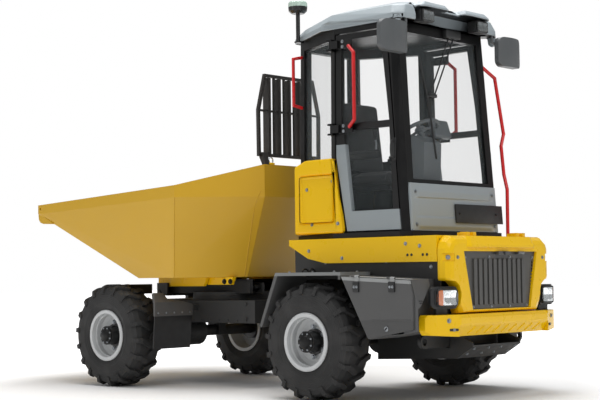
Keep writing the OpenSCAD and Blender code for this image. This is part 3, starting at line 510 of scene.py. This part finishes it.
def place(at, axis=UP, spin=0.0):
    """Frame at a point with its z along an axis."""
    turned_to = Vector(axis).to_track_quat("Z", "Y").to_matrix().to_4x4()
    return Matrix.Translation(at) @ turned_to @ Matrix.Rotation(spin, 4, "Z")


def block(size, bevel, segments=2):
    """Box about the origin with rounded edges."""
    form = bmesh.new()
    bmesh.ops.create_cube(form, size=1.0, matrix=Matrix.Diagonal((*size, 1)))
    bmesh.ops.bevel(form, geom=form.edges[:], offset=bevel, segments=segments, profile=0.5, affect="EDGES")
    return form


def turned(profile, steps=32):
    """Form turned about z from points of radius and height, starting and ending on the axis."""
    form = bmesh.new()
    rings = []
    for radius, height in profile:
        count = steps if radius > 0 else 1
        angles = [math.tau * i / steps for i in range(count)]
        rings.append([form.verts.new((radius * math.cos(a), radius * math.sin(a), height)) for a in angles])
    for low, high in zip(rings, rings[1:]):
        for i in range(steps):
            j = (i + 1) % steps
            corners = [low[i % len(low)], low[j % len(low)], high[j % len(high)], high[i % len(high)]]
            form.faces.new(list(dict.fromkeys(corners)))
    bmesh.ops.recalc_face_normals(form, faces=form.faces[:])
    return form


def smoothed(points, steps):
    """Points along a smooth curve through the given ones."""
    points = [Vector(p) for p in points]
    padded_out = [2 * points[0] - points[1], *points, 2 * points[-1] - points[-2]]
    path = []
    for a, b, c, d in zip(padded_out, padded_out[1:], padded_out[2:], padded_out[3:]):
        for i in range(steps):
            t = i / steps
            path.append(0.5 * (2 * b + (c - a) * t + (2 * a - 5 * b + 4 * c - d) * t ** 2
                               + (3 * b - a - 3 * c + d) * t ** 3))
    return path + [points[-1]]


def swept(points, radius, around=12, steps=6, ring=False):
    """Round tube along a smooth path, closed into a ring or capped at its ends."""
    form = bmesh.new()
    path = [Vector(p) for p in points] if ring else smoothed(points, steps)
    count = len(path)
    rings = []
    side = None
    for i, at in enumerate(path):
        ahead = path[(i + 1) % count] if ring or i < count - 1 else at
        behind = path[i - 1] if ring or i > 0 else at
        along = (ahead - behind).normalized()
        side = along.orthogonal() if side is None else side - along * side.dot(along)
        side.normalize()
        other = along.cross(side)
        angles = [math.tau * k / around for k in range(around)]
        spokes = [math.cos(a) * side + math.sin(a) * other for a in angles]
        rings.append([form.verts.new(at + radius * spoke) for spoke in spokes])
    for low, high in zip(rings, rings[1:] + rings[:1] if ring else rings[1:]):
        for k in range(around):
            form.faces.new((low[k], low[k - 1], high[k - 1], high[k]))
    if not ring:
        form.faces.new(rings[0])
        form.faces.new(rings[-1])
    bmesh.ops.recalc_face_normals(form, faces=form.faces[:])
    return form


def sheet(across, up, point):
    """Curved sheet from a function of two values between 0 and 1."""
    form = bmesh.new()
    rows = [[form.verts.new(point(i / across, j / up)) for i in range(across + 1)] for j in range(up + 1)]
    for low, high in zip(rows, rows[1:]):
        for i in range(across):
            form.faces.new((low[i], low[i + 1], high[i + 1], high[i]))
    return form


class Piece:
    """A fitting made of several rounded forms in one mesh, carried by one body."""

    def __init__(self, name, body, slot):
        self.name, self.body, self.slot = name, body, slot
        self.form = bmesh.new()
        self.mats = []

    def add(self, form, mat, at=None):
        if mat not in self.mats:
            self.mats.append(mat)
        for face in form.faces:
            face.material_index = self.mats.index(mat)
            face.smooth = True
        if at is not None:
            form.transform(at)
        scratch = bpy.data.meshes.new("scratch")
        form.to_mesh(scratch)
        form.free()
        self.form.from_mesh(scratch)
        bpy.data.meshes.remove(scratch)

    def bolt(self, at, axis, size=0.010, mat=None):
        """Hexagon head with a rounded top on a washer."""
        mat = mat or BOLT
        frame_at = place(at, axis, 0.4)
        washer = [(0, -0.001), (1.45 * size, -0.001), (1.45 * size, 0.2 * size),
                  (1.35 * size, 0.28 * size), (0, 0.28 * size)]
        head = [(0, 0.2 * size), (size, 0.2 * size), (size, 0.85 * size), (0.86 * size, size), (0, size)]
        self.add(turned(washer, 20), mat, frame_at)
        self.add(turned(head, 6), mat, frame_at)

    def bolts_on(self, node, ray, spots, size=0.010, mat=None):
        for a, b in spots:
            self.bolt(*touch(node, a, b, ray), size, mat)

    def done(self):
        mesh = bpy.data.meshes.new(self.name)
        self.form.to_mesh(mesh)
        self.form.free()
        for mat in self.mats:
            mesh.materials.append(mat)
        mesh.set_sharp_from_angle(angle=math.radians(38))
        made = bpy.data.objects.new(self.name, mesh)
        bpy.context.scene.collection.objects.link(made)
        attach(made, self.body)
        return made


# Lamps

def lamp_face(piece, front, low, high, corner, bowls, mirror, amber_at=2.0):
    """Bright bowls, a crowned clear cover and a black surround on a lamp seen from the engine end.

    The face spans y and z from low to high, front gives x at a y, amber_at is where the amber end begins.
    """
    (y0, z0), (y1, z1) = low, high
    middle, half = (z0 + z1) / 2, (z1 - z0) / 2
    width = abs(y1 - y0)

    def spot(u, v, lift):
        inset = min(u, 1 - u) * width
        rounded = half - corner + math.sqrt(max(0, corner ** 2 - (corner - inset) ** 2))
        tall = half if inset > corner else rounded
        y = y0 + (y1 - y0) * u
        return Vector((front(y) + lift, y, middle + (2 * v - 1) * tall))

    def bowl(u, v):
        at = spot(u, v, 0)
        depth = min(1.0, min(math.hypot(at.y - y, at.z - z) / size for y, z, size in bowls))
        at.x += 0.002 + 0.010 * depth ** 2
        return at

    def cover(u, v):
        return spot(u, v, 0.013 + 0.007 * (1 - (2 * u - 1) ** 4) * (1 - (2 * v - 1) ** 4))

    piece.add(sheet(40, 20, bowl), mirror)
    if amber_at < 1:
        piece.add(sheet(24, 16, lambda u, v: cover(u * amber_at, v)), LENS)
        piece.add(sheet(12, 16, lambda u, v: cover(amber_at + u * (1 - amber_at), v)), AMBER)
    else:
        piece.add(sheet(32, 16, cover), LENS)
    steps, seal = 24, 0.008
    shares = [i / steps for i in range(1, steps)]
    edge = [spot(u, 0, seal) for u in shares] + [spot(1 - u, 1, seal) for u in shares]
    piece.add(swept(edge, seal, 10, ring=True), PLASTIC)


def headlamp(hand, s):
    piece = Piece(f"headlamp_{hand}", "chassis", "lamp")
    middle_z = 0.763

    def front(y):
        return touch("headlamps", y, middle_z, ENGINE_END)[0].x

    bowls = [(s * 0.592, middle_z, 0.050), (s * 0.664, middle_z, 0.034)]
    lamp_face(piece, front, (s * 0.548, 0.704), (s * 0.754, 0.822), 0.034, bowls, CHROME, 0.80)
    piece.done()


def work_lamp(hand, s):
    piece = Piece(f"work_lamp_{hand}", "chassis", "lamp")
    face_x = touch("headlamps", s * 0.35, 2.85, ENGINE_END)[0].x
    bowls = [(s * y, 2.871, 0.036) for y in (0.316, 0.384)]
    lamp_face(piece, lambda y: face_x, (s * 0.280, 2.832), (s * 0.420, 2.910), 0.012, bowls, SMOKED)
    piece.done()


def marker(hand, s):
    """Amber position lamp on the front plate of a fender."""
    foot = [(0, -0.002), (0.030, -0.002), (0.030, 0.006), (0.026, 0.010), (0, 0.010)]
    lens = [(0, 0.006), (0.024, 0.008), (0.023, 0.016), (0.016, 0.023), (0, 0.026)]
    piece = Piece(f"marker_{hand}", "chassis", "lamp")
    at, normal = touch("rear_fenders", s * 0.873, 0.885, SKIP_END)
    frame_at = place(at, normal)
    piece.add(turned(foot, 28), PLASTIC, frame_at)
    piece.add(turned(lens, 28), AMBER, frame_at)
    piece.done()


for hand, s in HANDS:
    headlamp(hand, s)
    work_lamp(hand, s)
for hand, s in HANDS:
    marker(hand, s)


# Bolts, rivets and door handles, each spot given by the two coordinates that the ray leaves free

def both_hands(spots):
    """Spots (y, z) on the near side and, mirrored, on the far side."""
    return [(s * y, z) for s in (-1, 1) for y, z in spots]


COVER_BOLTS = [(1.814, 1.155), (1.943, 1.137), (0.86, 1.12), (1.20, 1.06)]
COVER_PLUGS = [(x, 1.073) for x in (1.831, 1.868, 1.971, 2.009)]
FAIRING_BOLTS = [(1.084, 1.651), (1.142, 1.325), (0.86, 1.325), (0.80, 1.60)]
BODY_BOLTS = [(2.014, 0.985), (1.60, 1.03), (1.00, 1.03)]
BELLY_BOLTS = [(y, z) for y in (-0.26, -0.08, 0.08, 0.26) for z in (0.345, 0.385)]
GRILLE_BOLTS = [(0.135, 1.054), (0.435, 1.05), (0.345, 0.688), (0.12, 0.688)]
DOOR_BOLTS = [(1.20, z + dz) for z in (2.05, 2.70) for dz in (-0.02, 0.02)]
RIVET = [(0, -0.001), (0.009, -0.001), (0.008, 0.003), (0.004, 0.006), (0, 0.0065)]

bolts = Piece("panel_bolts", "chassis", "steel")
bolts.bolts_on("cab_front_panel", ENGINE_END, both_hands([(0.49, 1.545), (0.50, 1.30)]))
for ray, s in ((NEAR, -1), (FAR, 1)):
    bolts.bolts_on("engine_cover", ray, COVER_BOLTS)
    bolts.bolts_on("engine_cover", ray, COVER_PLUGS, 0.007, PLASTIC)
    bolts.bolts_on("corner_fairings", ray, FAIRING_BOLTS)
    bolts.bolts_on("body_panels", ray, BODY_BOLTS)
    bolts.bolts_on("cab_roof", ray, [(1.722, 2.772)], 0.008)
    bolts.bolts_on("rear_fenders", ABOVE, [(x, s * y) for x in (0.90, 1.35) for y in (0.66, 0.92)], 0.009)
bolts.bolts_on("bumper", ENGINE_END, both_hands([(0.66, 0.60)]), 0.012)
bolts.bolts_on("bulkheads", ENGINE_END, BELLY_BOLTS, 0.009)
bolts.done()

hood_bolts = Piece("hood_bolts", "hood", "steel")
hood_bolts.bolts_on("radiator_grille", ENGINE_END, both_hands(GRILLE_BOLTS), 0.008)
hood_bolts.bolts_on("hood_fascia", ENGINE_END, both_hands([(0.55, 1.05)]), 0.010)
hood_bolts.done()

for hand, ray in (("near", NEAR), ("far", FAR)):
    door_bolts = Piece(f"door_bolts_{hand}", f"door_{hand}", "steel")
    door_bolts.bolts_on(f"door_{hand}", ray, DOOR_BOLTS, 0.009)
    door_bolts.done()

    handle = Piece(f"door_handle_{hand}", f"door_{hand}", "black_plastic")
    at, normal = touch(f"door_{hand}", 1.672, 1.86, ray)
    handle.add(block((0.034, 0.17, 0.010), 0.004), PLASTIC, place(at + 0.004 * normal, normal))
    grip = [(0, -0.07, 0.004), (0, -0.055, 0.036), (0, 0, 0.043), (0, 0.055, 0.036), (0, 0.07, 0.004)]
    handle.add(swept(grip, 0.010), PLASTIC, place(at, normal))
    handle.done()

rivets = Piece("mudguard_rivets", "front_half", "steel")
for s in (-1, 1):
    for y in (0.53, 0.62, 0.71, 0.80, 0.89):
        at, normal = touch("mudguards", s * y, 0.632, ENGINE_END)
        rivets.add(turned(RIVET, 16), BOLT, place(at, normal))
rivets.done()

flange = Piece("frame_bolts", "front_half", "steel")
for ray in (NEAR, FAR):
    flange.bolts_on("front_frame", ray, [(-0.60 + 0.11 * i, 0.562) for i in range(6)], 0.008, DARK)
    flange.bolts_on("front_frame", ray, [(-0.05, 0.70), (-0.05, 0.58)], 0.013, DARK)
flange.done()

# Locker

lock = Piece("locker_fittings", "locker_flap", "black_plastic")
at, normal = touch("box_flap", 1.874, 0.548, NEAR)
face = [(0, -0.001), (0.019, -0.001), (0.019, 0.004), (0.016, 0.007), (0, 0.007)]
lock.add(turned(face, 28), BOLT, place(at, normal))
lock.add(block((0.026, 0.008, 0.010), 0.003), PLASTIC, place(at + 0.009 * normal, normal, 0.8))
for x in (1.60, 1.93):
    at, normal = touch("box_flap", x, 0.845, NEAR)
    lock.add(block((0.055, 0.075, 0.014), 0.005), PLASTIC, place(at + 0.006 * normal, normal))
    lock.bolt(at + 0.013 * normal + Vector((0.012, 0, 0)), normal, 0.007)
    lock.bolt(at + 0.013 * normal - Vector((0.012, 0, 0)), normal, 0.007)
rib_line = [(1.725, 0.606), (1.90, 0.610), (2.09, 0.614)]
lock.add(swept([touch("box_flap", x, z, NEAR)[0] for x, z in rib_line], 0.0035, 8), GREY)
lock.done()

# Wheels

HUB_FACE, DISC_FACE = 0.132, 0.049
HUB_CAP = [(0, -0.001), (0.074, -0.001), (0.074, 0.006), (0.070, 0.010), (0.052, 0.012), (0.046, 0.024),
           (0.040, 0.028), (0, 0.030)]


def bolt_circle(piece, centre, axis, count, radius, size, first):
    """Bolts evenly spaced on a circle about a wheel's axis."""
    for k in range(count):
        a = first + math.tau * k / count
        piece.bolt(centre + radius * Vector((math.cos(a), 0, math.sin(a))), axis, size)


for end in ("front", "rear"):
    for hand, s in HANDS:
        wheel = f"{end}_{hand}"
        out = Vector((0, s, 0))
        centre = joint_at(f"wheel_{wheel}_spin")
        hub = Piece(f"hub_{wheel}", f"wheel_{wheel}", "steel")
        hub.add(turned(HUB_CAP, 40), BLACK, place(centre + HUB_FACE * out, out))
        bolt_circle(hub, centre + (HUB_FACE + 0.009) * out, out, 8, 0.062, 0.006, math.tau / 16)
        bolt_circle(hub, centre + DISC_FACE * out, out, 6, 0.112, 0.014, math.tau / 12)
        hub.done()

# Wiper and blank plate at the engine end of the cab

wiper = Piece("wiper", "chassis", "black_plastic")
PANE_LOW_Z, PANE_HIGH_Z = 2.3, 2.6
pane_low, pane_high = [touch("cab_glass", 0.0, z, ENGINE_END)[0].x for z in (PANE_LOW_Z, PANE_HIGH_Z)]
pane_lean = (pane_high - pane_low) / (PANE_HIGH_Z - PANE_LOW_Z)


def on_pane(y, z, off):
    """Point a little off the front window."""
    return Vector((pane_low + pane_lean * (z - PANE_LOW_Z) + off, y, z))


for (ya, za), (yb, zb) in (((0.091, 2.80), (-0.211, 2.289)), ((0.154, 2.80), (-0.15, 2.295))):
    bend = on_pane(ya * 0.6 + yb * 0.4, za * 0.6 + zb * 0.4, 0.036)
    wiper.add(swept([on_pane(ya, za, 0.038), bend, on_pane(yb, zb, 0.026)], 0.006), PLASTIC)
blade = [on_pane(-0.29, 2.58, 0.012), on_pane(-0.221, 2.251, 0.014), on_pane(-0.165, 1.804, 0.012)]
wiper.add(swept(blade, 0.008), PLASTIC)
wiper.add(block((0.040, 0.10, 0.030), 0.008), PLASTIC, Matrix.Translation(on_pane(-0.18, 2.29, 0.020)))
wiper.add(block((0.060, 0.19, 0.075), 0.014, 3), PLASTIC, Matrix.Translation(on_pane(0.12, 2.80, 0.030)))
wiper.done()

number_plate = Piece("blank_plate", "chassis", "black_plastic")
PLATE_Z = 1.39
at, normal = touch("cab_front_panel", 0.285, PLATE_Z, ENGINE_END)
number_plate.add(block((0.62, 0.145, 0.010), 0.003), PLASTIC, place(at + 0.012 * normal, normal))
for y in (0.02, 0.50):
    spot, normal = touch("cab_front_panel", y, PLATE_Z, ENGINE_END)
    number_plate.add(block((0.05, 0.10, 0.014), 0.003), BLACK, place(spot + 0.005 * normal, normal))
    number_plate.bolt(spot + 0.017 * normal, normal, 0.007, BLACK)
number_plate.done()

# Mirror panes

for hand, y, z in (("near", -0.765, 2.665), ("far", 0.71, 2.703)):
    mirror_pane = Piece(f"mirror_pane_{hand}", "chassis", "glass")
    at, normal = touch("mirrors", y, z, SKIP_END)
    mirror_pane.add(block((0.245, 0.165, 0.006), 0.0025), CHROME, place(at + 0.002 * normal, normal))
    mirror_pane.done()

# Slats of the skip guard, standing edge on to the cab

slats = Piece("guard_slats", "skip", "iron")
guard_x = touch("skip_guard", 0.062, 2.2, ENGINE_END)[0].x - 0.009
for y in (-0.248, -0.124, 0.0, 0.124, 0.248):
    slats.add(block((0.070, 0.030, 0.655), 0.003), GUARD, Matrix.Translation((guard_x - 0.02, y, 2.2725)))
slats.done()

# Small fittings of the chassis

trim = Piece("bumper_fittings", "chassis", "yellow_paint")
for i in range(-4, 5):
    y = 0.105 * i
    line = [touch("bumper", y + 0.05 * t, 0.500 + 0.052 * t, ENGINE_END)[0] for t in (0, 0.5, 1)]
    trim.add(swept(line, 0.007, 10, 4), YELLOW)
for s in (-1, 1):
    at, normal = touch("bumper", s * 0.62, 0.535, ENGINE_END)
    trim.add(block((0.075, 0.018, 0.006), 0.0025), PLASTIC, place(at + 0.001 * normal, normal))
    trim.bolt(at + 0.003 * normal, normal, 0.008)
trim.done()

vents = Piece("locker_vents", "chassis", "black_plastic")
for i in range(3):
    at, normal = touch("tool_box", -0.895, 0.745 - 0.016 * i, ENGINE_END)
    vents.add(block((0.045 - 0.010 * i, 0.006, 0.005), 0.002), PLASTIC, place(at, normal))
vents.done()

strip = Piece("locker_strip", "chassis", "grey_paint")
ends = [touch("tool_box", x, -0.905, ABOVE)[0] for x in (1.50, 2.05)]
middle = (ends[0] + ends[1]) / 2
lean = math.atan2(ends[0].z - ends[1].z, ends[1].x - ends[0].x)
strip_at = Matrix.Translation(middle) @ Matrix.Rotation(lean, 4, "Y")
strip.add(block((0.55, 0.055, 0.006), 0.0025), PALE, strip_at)
strip.done()

hydraulics = Piece("hydraulics", "chassis", "black_plastic")
can = (0.52, -0.445, 0.53)
profile = [(0, 0), (0.036, 0), (0.046, 0.010), (0.046, 0.120), (0.040, 0.128), (0.040, 0.140),
           (0.052, 0.142), (0.052, 0.158), (0.026, 0.166), (0, 0.166)]
nut = [(0, 0), (0.019, 0), (0.019, 0.022), (0, 0.022)]
hydraulics.add(turned(profile, 36), CAST, Matrix.Translation(can))
hydraulics.add(block((0.05, 0.05, 0.06), 0.006), DARK, Matrix.Translation((0.52, -0.394, 0.60)))
for dx, y in ((-0.018, -0.455), (0.018, -0.435)):
    x = can[0] + dx
    pipe = [(x, y, 0.690), (x, y, 0.78), (x + 0.04, y, 0.86), (x + 0.10, y, 0.90), (0.692, y, 0.90)]
    hydraulics.add(swept(pipe, 0.011), PLASTIC)
    hydraulics.add(turned(nut, 6), BOLT, place((0.668, y, 0.90), (1, 0, 0)))
hydraulics.done()

hooks = Piece("fender_hooks", "chassis", "iron")
for s in (-1, 1):
    for x in (0.86, 0.93):
        at = touch("rear_fenders", x, s * 0.70, ABOVE)[0]
        angles = [math.pi * k / 8 for k in range(9)]
        loop = [at + Vector((0, 0.035 * math.cos(a), 0.030 * math.sin(a) - 0.004)) for a in angles]
        hooks.add(swept(loop, 0.006, 10, 3), BLACK)
hooks.done()

latches = Piece("hood_latches", "hood", "steel")
for s in (-1, 1):
    out = Vector((0.743, 0.669 * s, 0))
    start = Vector((2.168, 0.622 * s, 1.050)) + 0.5 * out
    hit, at, normal, _ = NODES["hood_fascia"].ray_cast(start, -out)
    latches.bolt(at, normal, 0.012)
at, normal = touch("radiator_grille", 0.018, 1.082, ENGINE_END)
button = [(0, -0.001), (0.012, -0.001), (0.012, 0.006), (0.009, 0.009), (0, 0.007)]
latches.add(turned(button, 24), PLASTIC, place(at, normal))
at, normal = touch("radiator_grille", 0.248, 1.083, ENGINE_END)
latches.add(block((0.074, 0.016, 0.008), 0.003), LENS, place(at + 0.003 * normal, normal))
latches.done()

# Skip

seams = Piece("skip_seams", "skip", "yellow_paint")
for ray in (NEAR, FAR):
    for low, high in (((-0.485, 0.932), (-0.395, 1.585)), ((-0.175, 0.932), (0.085, 1.63))):
        spots = [[a + (b - a) * k / 8 for a, b in zip(low, high)] for k in range(9)]
        line = [touch("skip_tub", x, z, ray)[0] for x, z in spots]
        seams.add(swept(line, 0.0045, 8, 2), DRESS["skip_tub"])
    seams.bolts_on("skip_rails", ray, [(-0.288, 0.888), (-0.216, 0.888)], 0.016, BLACK)
for s in (-1, 1):
    foot = touch("skip_tub", 0.085, s * 0.27, ABOVE)[0]
    block_at = Matrix.Translation(foot + Vector((-0.005, 0, 0.012)))
    seams.add(block((0.045, 0.07, 0.030), 0.006), YELLOW, block_at)
    angles = [math.tau * k / 24 for k in range(24)]
    ring = [foot + Vector((0, 0.026 * math.cos(a), 0.045 + 0.026 * math.sin(a))) for a in angles]
    seams.add(swept(ring, 0.006, 10, ring=True), STEEL)
seams.done()


# Driver's station

def foam(name, size, bevel, at, lean, travel):
    """Foam block swollen by a short cloth run, its travel capped."""
    made = bpy.data.objects.new(name, bpy.data.meshes.new(name))
    form = block(size, bevel, 4)
    form.to_mesh(made.data)
    form.free()
    scene = bpy.context.scene
    scene.collection.objects.link(made)
    bpy.context.view_layer.objects.active = made
    skin = made.modifiers.new("skin", "REMESH")
    skin.mode = "VOXEL"
    skin.voxel_size = 0.006
    bpy.ops.object.modifier_apply(modifier="skin")
    start = [v.co.copy() for v in made.data.vertices]
    held = made.vertex_groups.new(name="held")
    under = -size[2] / 2 + 0.012
    held.add([v.index for v in made.data.vertices if v.co.z < under], 1.0, "REPLACE")
    swell = made.modifiers.new("swell", "CLOTH")
    swell.settings.use_pressure = True
    swell.settings.uniform_pressure_force = 4.0
    swell.settings.vertex_group_mass = "held"
    swell.settings.effector_weights.gravity = 0.0
    swell.settings.quality = 3
    swell.collision_settings.use_collision = False
    swell.point_cache.frame_start = 1
    swell.point_cache.frame_end = 20
    for number in range(1, 21):
        scene.frame_set(number)
    bpy.ops.object.modifier_apply(modifier="swell")
    scene.frame_set(1)
    for vertex, before in zip(made.data.vertices, start):
        moved = vertex.co - before
        if moved.length > travel:
            vertex.co = before + moved.normalized() * travel
    made.data.transform(Matrix.Translation(at) @ Matrix.Rotation(lean, 4, "Y"))
    soften = made.modifiers.new("soften", "SUBSURF")
    soften.levels = soften.render_levels = 1
    bpy.ops.object.modifier_apply(modifier="soften")
    for face in made.data.polygons:
        face.use_smooth = True
    made.data.materials.append(CLOTH)
    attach(made, "driver_station")
    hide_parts("seat_cushions")
    return made


STATION_X = joint_at("station_turn").x
ARM_Y = 0.2785
BACK_LEAN = math.radians(83) - math.pi
SWELL = 0.014
foam("seat_squab", (0.44, 0.46, 0.095), 0.035, (STATION_X - 0.04, 0, 1.681), 0.0, SWELL)
foam("seat_backrest", (0.56, 0.44, 0.085), 0.035, (STATION_X - 0.302, 0, 2.04), BACK_LEAN, SWELL)

fittings = Piece("station_fittings", "driver_station", "black_plastic")
screen_at = Matrix.Translation((STATION_X + 0.345, 0.205, 2.075)) @ Matrix.Rotation(math.radians(-18), 4, "Y")
fittings.add(block((0.055, 0.215, 0.150), 0.020, 4), TRIM, screen_at)
fittings.add(block((0.006, 0.180, 0.115), 0.0025), BLACK, screen_at @ Matrix.Translation((-0.027, 0, 0.004)))
screen_arm = [(0.345, 0.09, 1.93), (0.36, 0.15, 1.95), (0.36, 0.20, 2.02)]
fittings.add(swept([(STATION_X + x, y, z) for x, y, z in screen_arm], 0.013), PLASTIC)
lever_knob = [(0, 0), (0.016, 0.004), (0.021, 0.030), (0.022, 0.060), (0.018, 0.078), (0.008, 0.086),
              (0, 0.087)]
for s in (-1, 1):
    arm_y = s * ARM_Y
    pad_at = Matrix.Translation((STATION_X - 0.055, arm_y, 1.890))
    fittings.add(block((0.33, 0.062, 0.030), 0.012, 4), PLASTIC, pad_at)
    stalk = [(STATION_X + x, arm_y, z) for x, z in ((0.085, 1.89), (0.090, 1.95), (0.082, 1.985))]
    fittings.add(swept(stalk, 0.008), BOLT)
    fittings.add(turned(lever_knob, 28), PLASTIC, place((STATION_X + 0.082, arm_y, 1.978), (-0.1, 0, 1)))
wheel_at = Matrix.Translation((STATION_X + 0.350, 0, 1.970)) @ Matrix.Rotation(math.radians(-25), 4, "Y")
knob_at = wheel_at @ Matrix.Translation((-0.075, -0.130, 0.112))
wheel_knob = [(0, 0), (0.008, 0), (0.010, 0.014), (0.022, 0.024), (0.024, 0.038), (0.016, 0.050), (0, 0.053)]
fittings.add(turned(wheel_knob, 28), BLACK, knob_at)
wheel_cap = [(0, 0.100), (0.040, 0.108), (0.036, 0.118), (0.020, 0.123), (0, 0.124)]
fittings.add(turned(wheel_cap, 36), TRIM, wheel_at)
fittings.done()


# Floor, light and camera

def floor():
    """Wide pale floor that stays white to the eye and keeps the shadow."""
    reach = 60.0
    bpy.ops.mesh.primitive_plane_add(size=2 * reach)
    plane = bpy.context.object
    plane.name = "floor"
    look = Look("floor")
    look.colour(look.mottled(srgb("#f6f6f6"), 0.008, 0.5))
    look.rough(0.85, 0.95)
    away = look.spread(look.radius((0, 0, 0), "Z"), 0.0, 1.0, 2.4, 5.0)
    path = look.node("ShaderNodeLightPath")
    seen = look.math("MAXIMUM", path.outputs["Is Camera Ray"], path.outputs["Is Glossy Ray"])
    seen = look.math("MAXIMUM", seen, path.outputs["Is Transmission Ray"])
    look.bsdf.inputs["Emission Color"].default_value = (1, 1, 1, 1)
    look.link(look.math("MULTIPLY", seen, away), look.bsdf.inputs["Emission Strength"])
    plane.data.materials.append(look.mat)


def world():
    """White to the eye, a mid level to the object."""
    made = bpy.data.worlds.new("studio")
    bpy.context.scene.world = made
    made.use_nodes = True
    tree = made.node_tree
    background = tree.nodes["Background"]
    path = tree.nodes.new("ShaderNodeLightPath")
    seen = path.outputs["Is Camera Ray"]
    level = tree.nodes.new("ShaderNodeMapRange")
    level.inputs["To Min"].default_value = 0.38
    level.inputs["To Max"].default_value = 1.0
    tree.links.new(seen, level.inputs["Value"])
    tree.links.new(level.outputs["Result"], background.inputs["Strength"])
    background.inputs["Color"].default_value = (1, 1, 1, 1)


def lamp(name, at, target, size, power):
    data = bpy.data.lights.new(name, "AREA")
    data.shape = "DISK"
    data.size = size
    data.energy = power
    made = bpy.data.objects.new(name, data)
    made.location = at
    made.rotation_euler = (Vector(target) - Vector(at)).to_track_quat("-Z", "Y").to_euler()
    bpy.context.scene.collection.objects.link(made)


def camera():
    """The photo's viewpoint, found from the wheels, cab and skip edges."""
    data = bpy.data.cameras.new("camera")
    data.sensor_width = 36.0
    data.lens = 81.3
    made = bpy.data.objects.new("camera", data)
    made.location = (7.9513, -8.4169, 0.9424)
    yaw, pitch, roll = 0.7465, 0.0547, math.radians(-0.7)
    made.rotation_euler = (Matrix.Rotation(yaw, 3, "Z") @ Matrix.Rotation(math.pi / 2 + pitch, 3, "X")
                           @ Matrix.Rotation(roll, 3, "Z")).to_euler()
    bpy.context.scene.collection.objects.link(made)
    bpy.context.scene.camera = made


floor()
world()
lamp("top", (-0.5, 0.5, 9.0), (0, 0, 1.0), 7.0, 680)
lamp("key", (6.5, -3.0, 7.5), (0.5, 0, 1.0), 5.0, 210)
lamp("side", (-3.0, -9.0, 4.0), (0, 0, 1.0), 5.0, 60)
camera()
bpy.context.scene.view_settings.view_transform = "Standard"
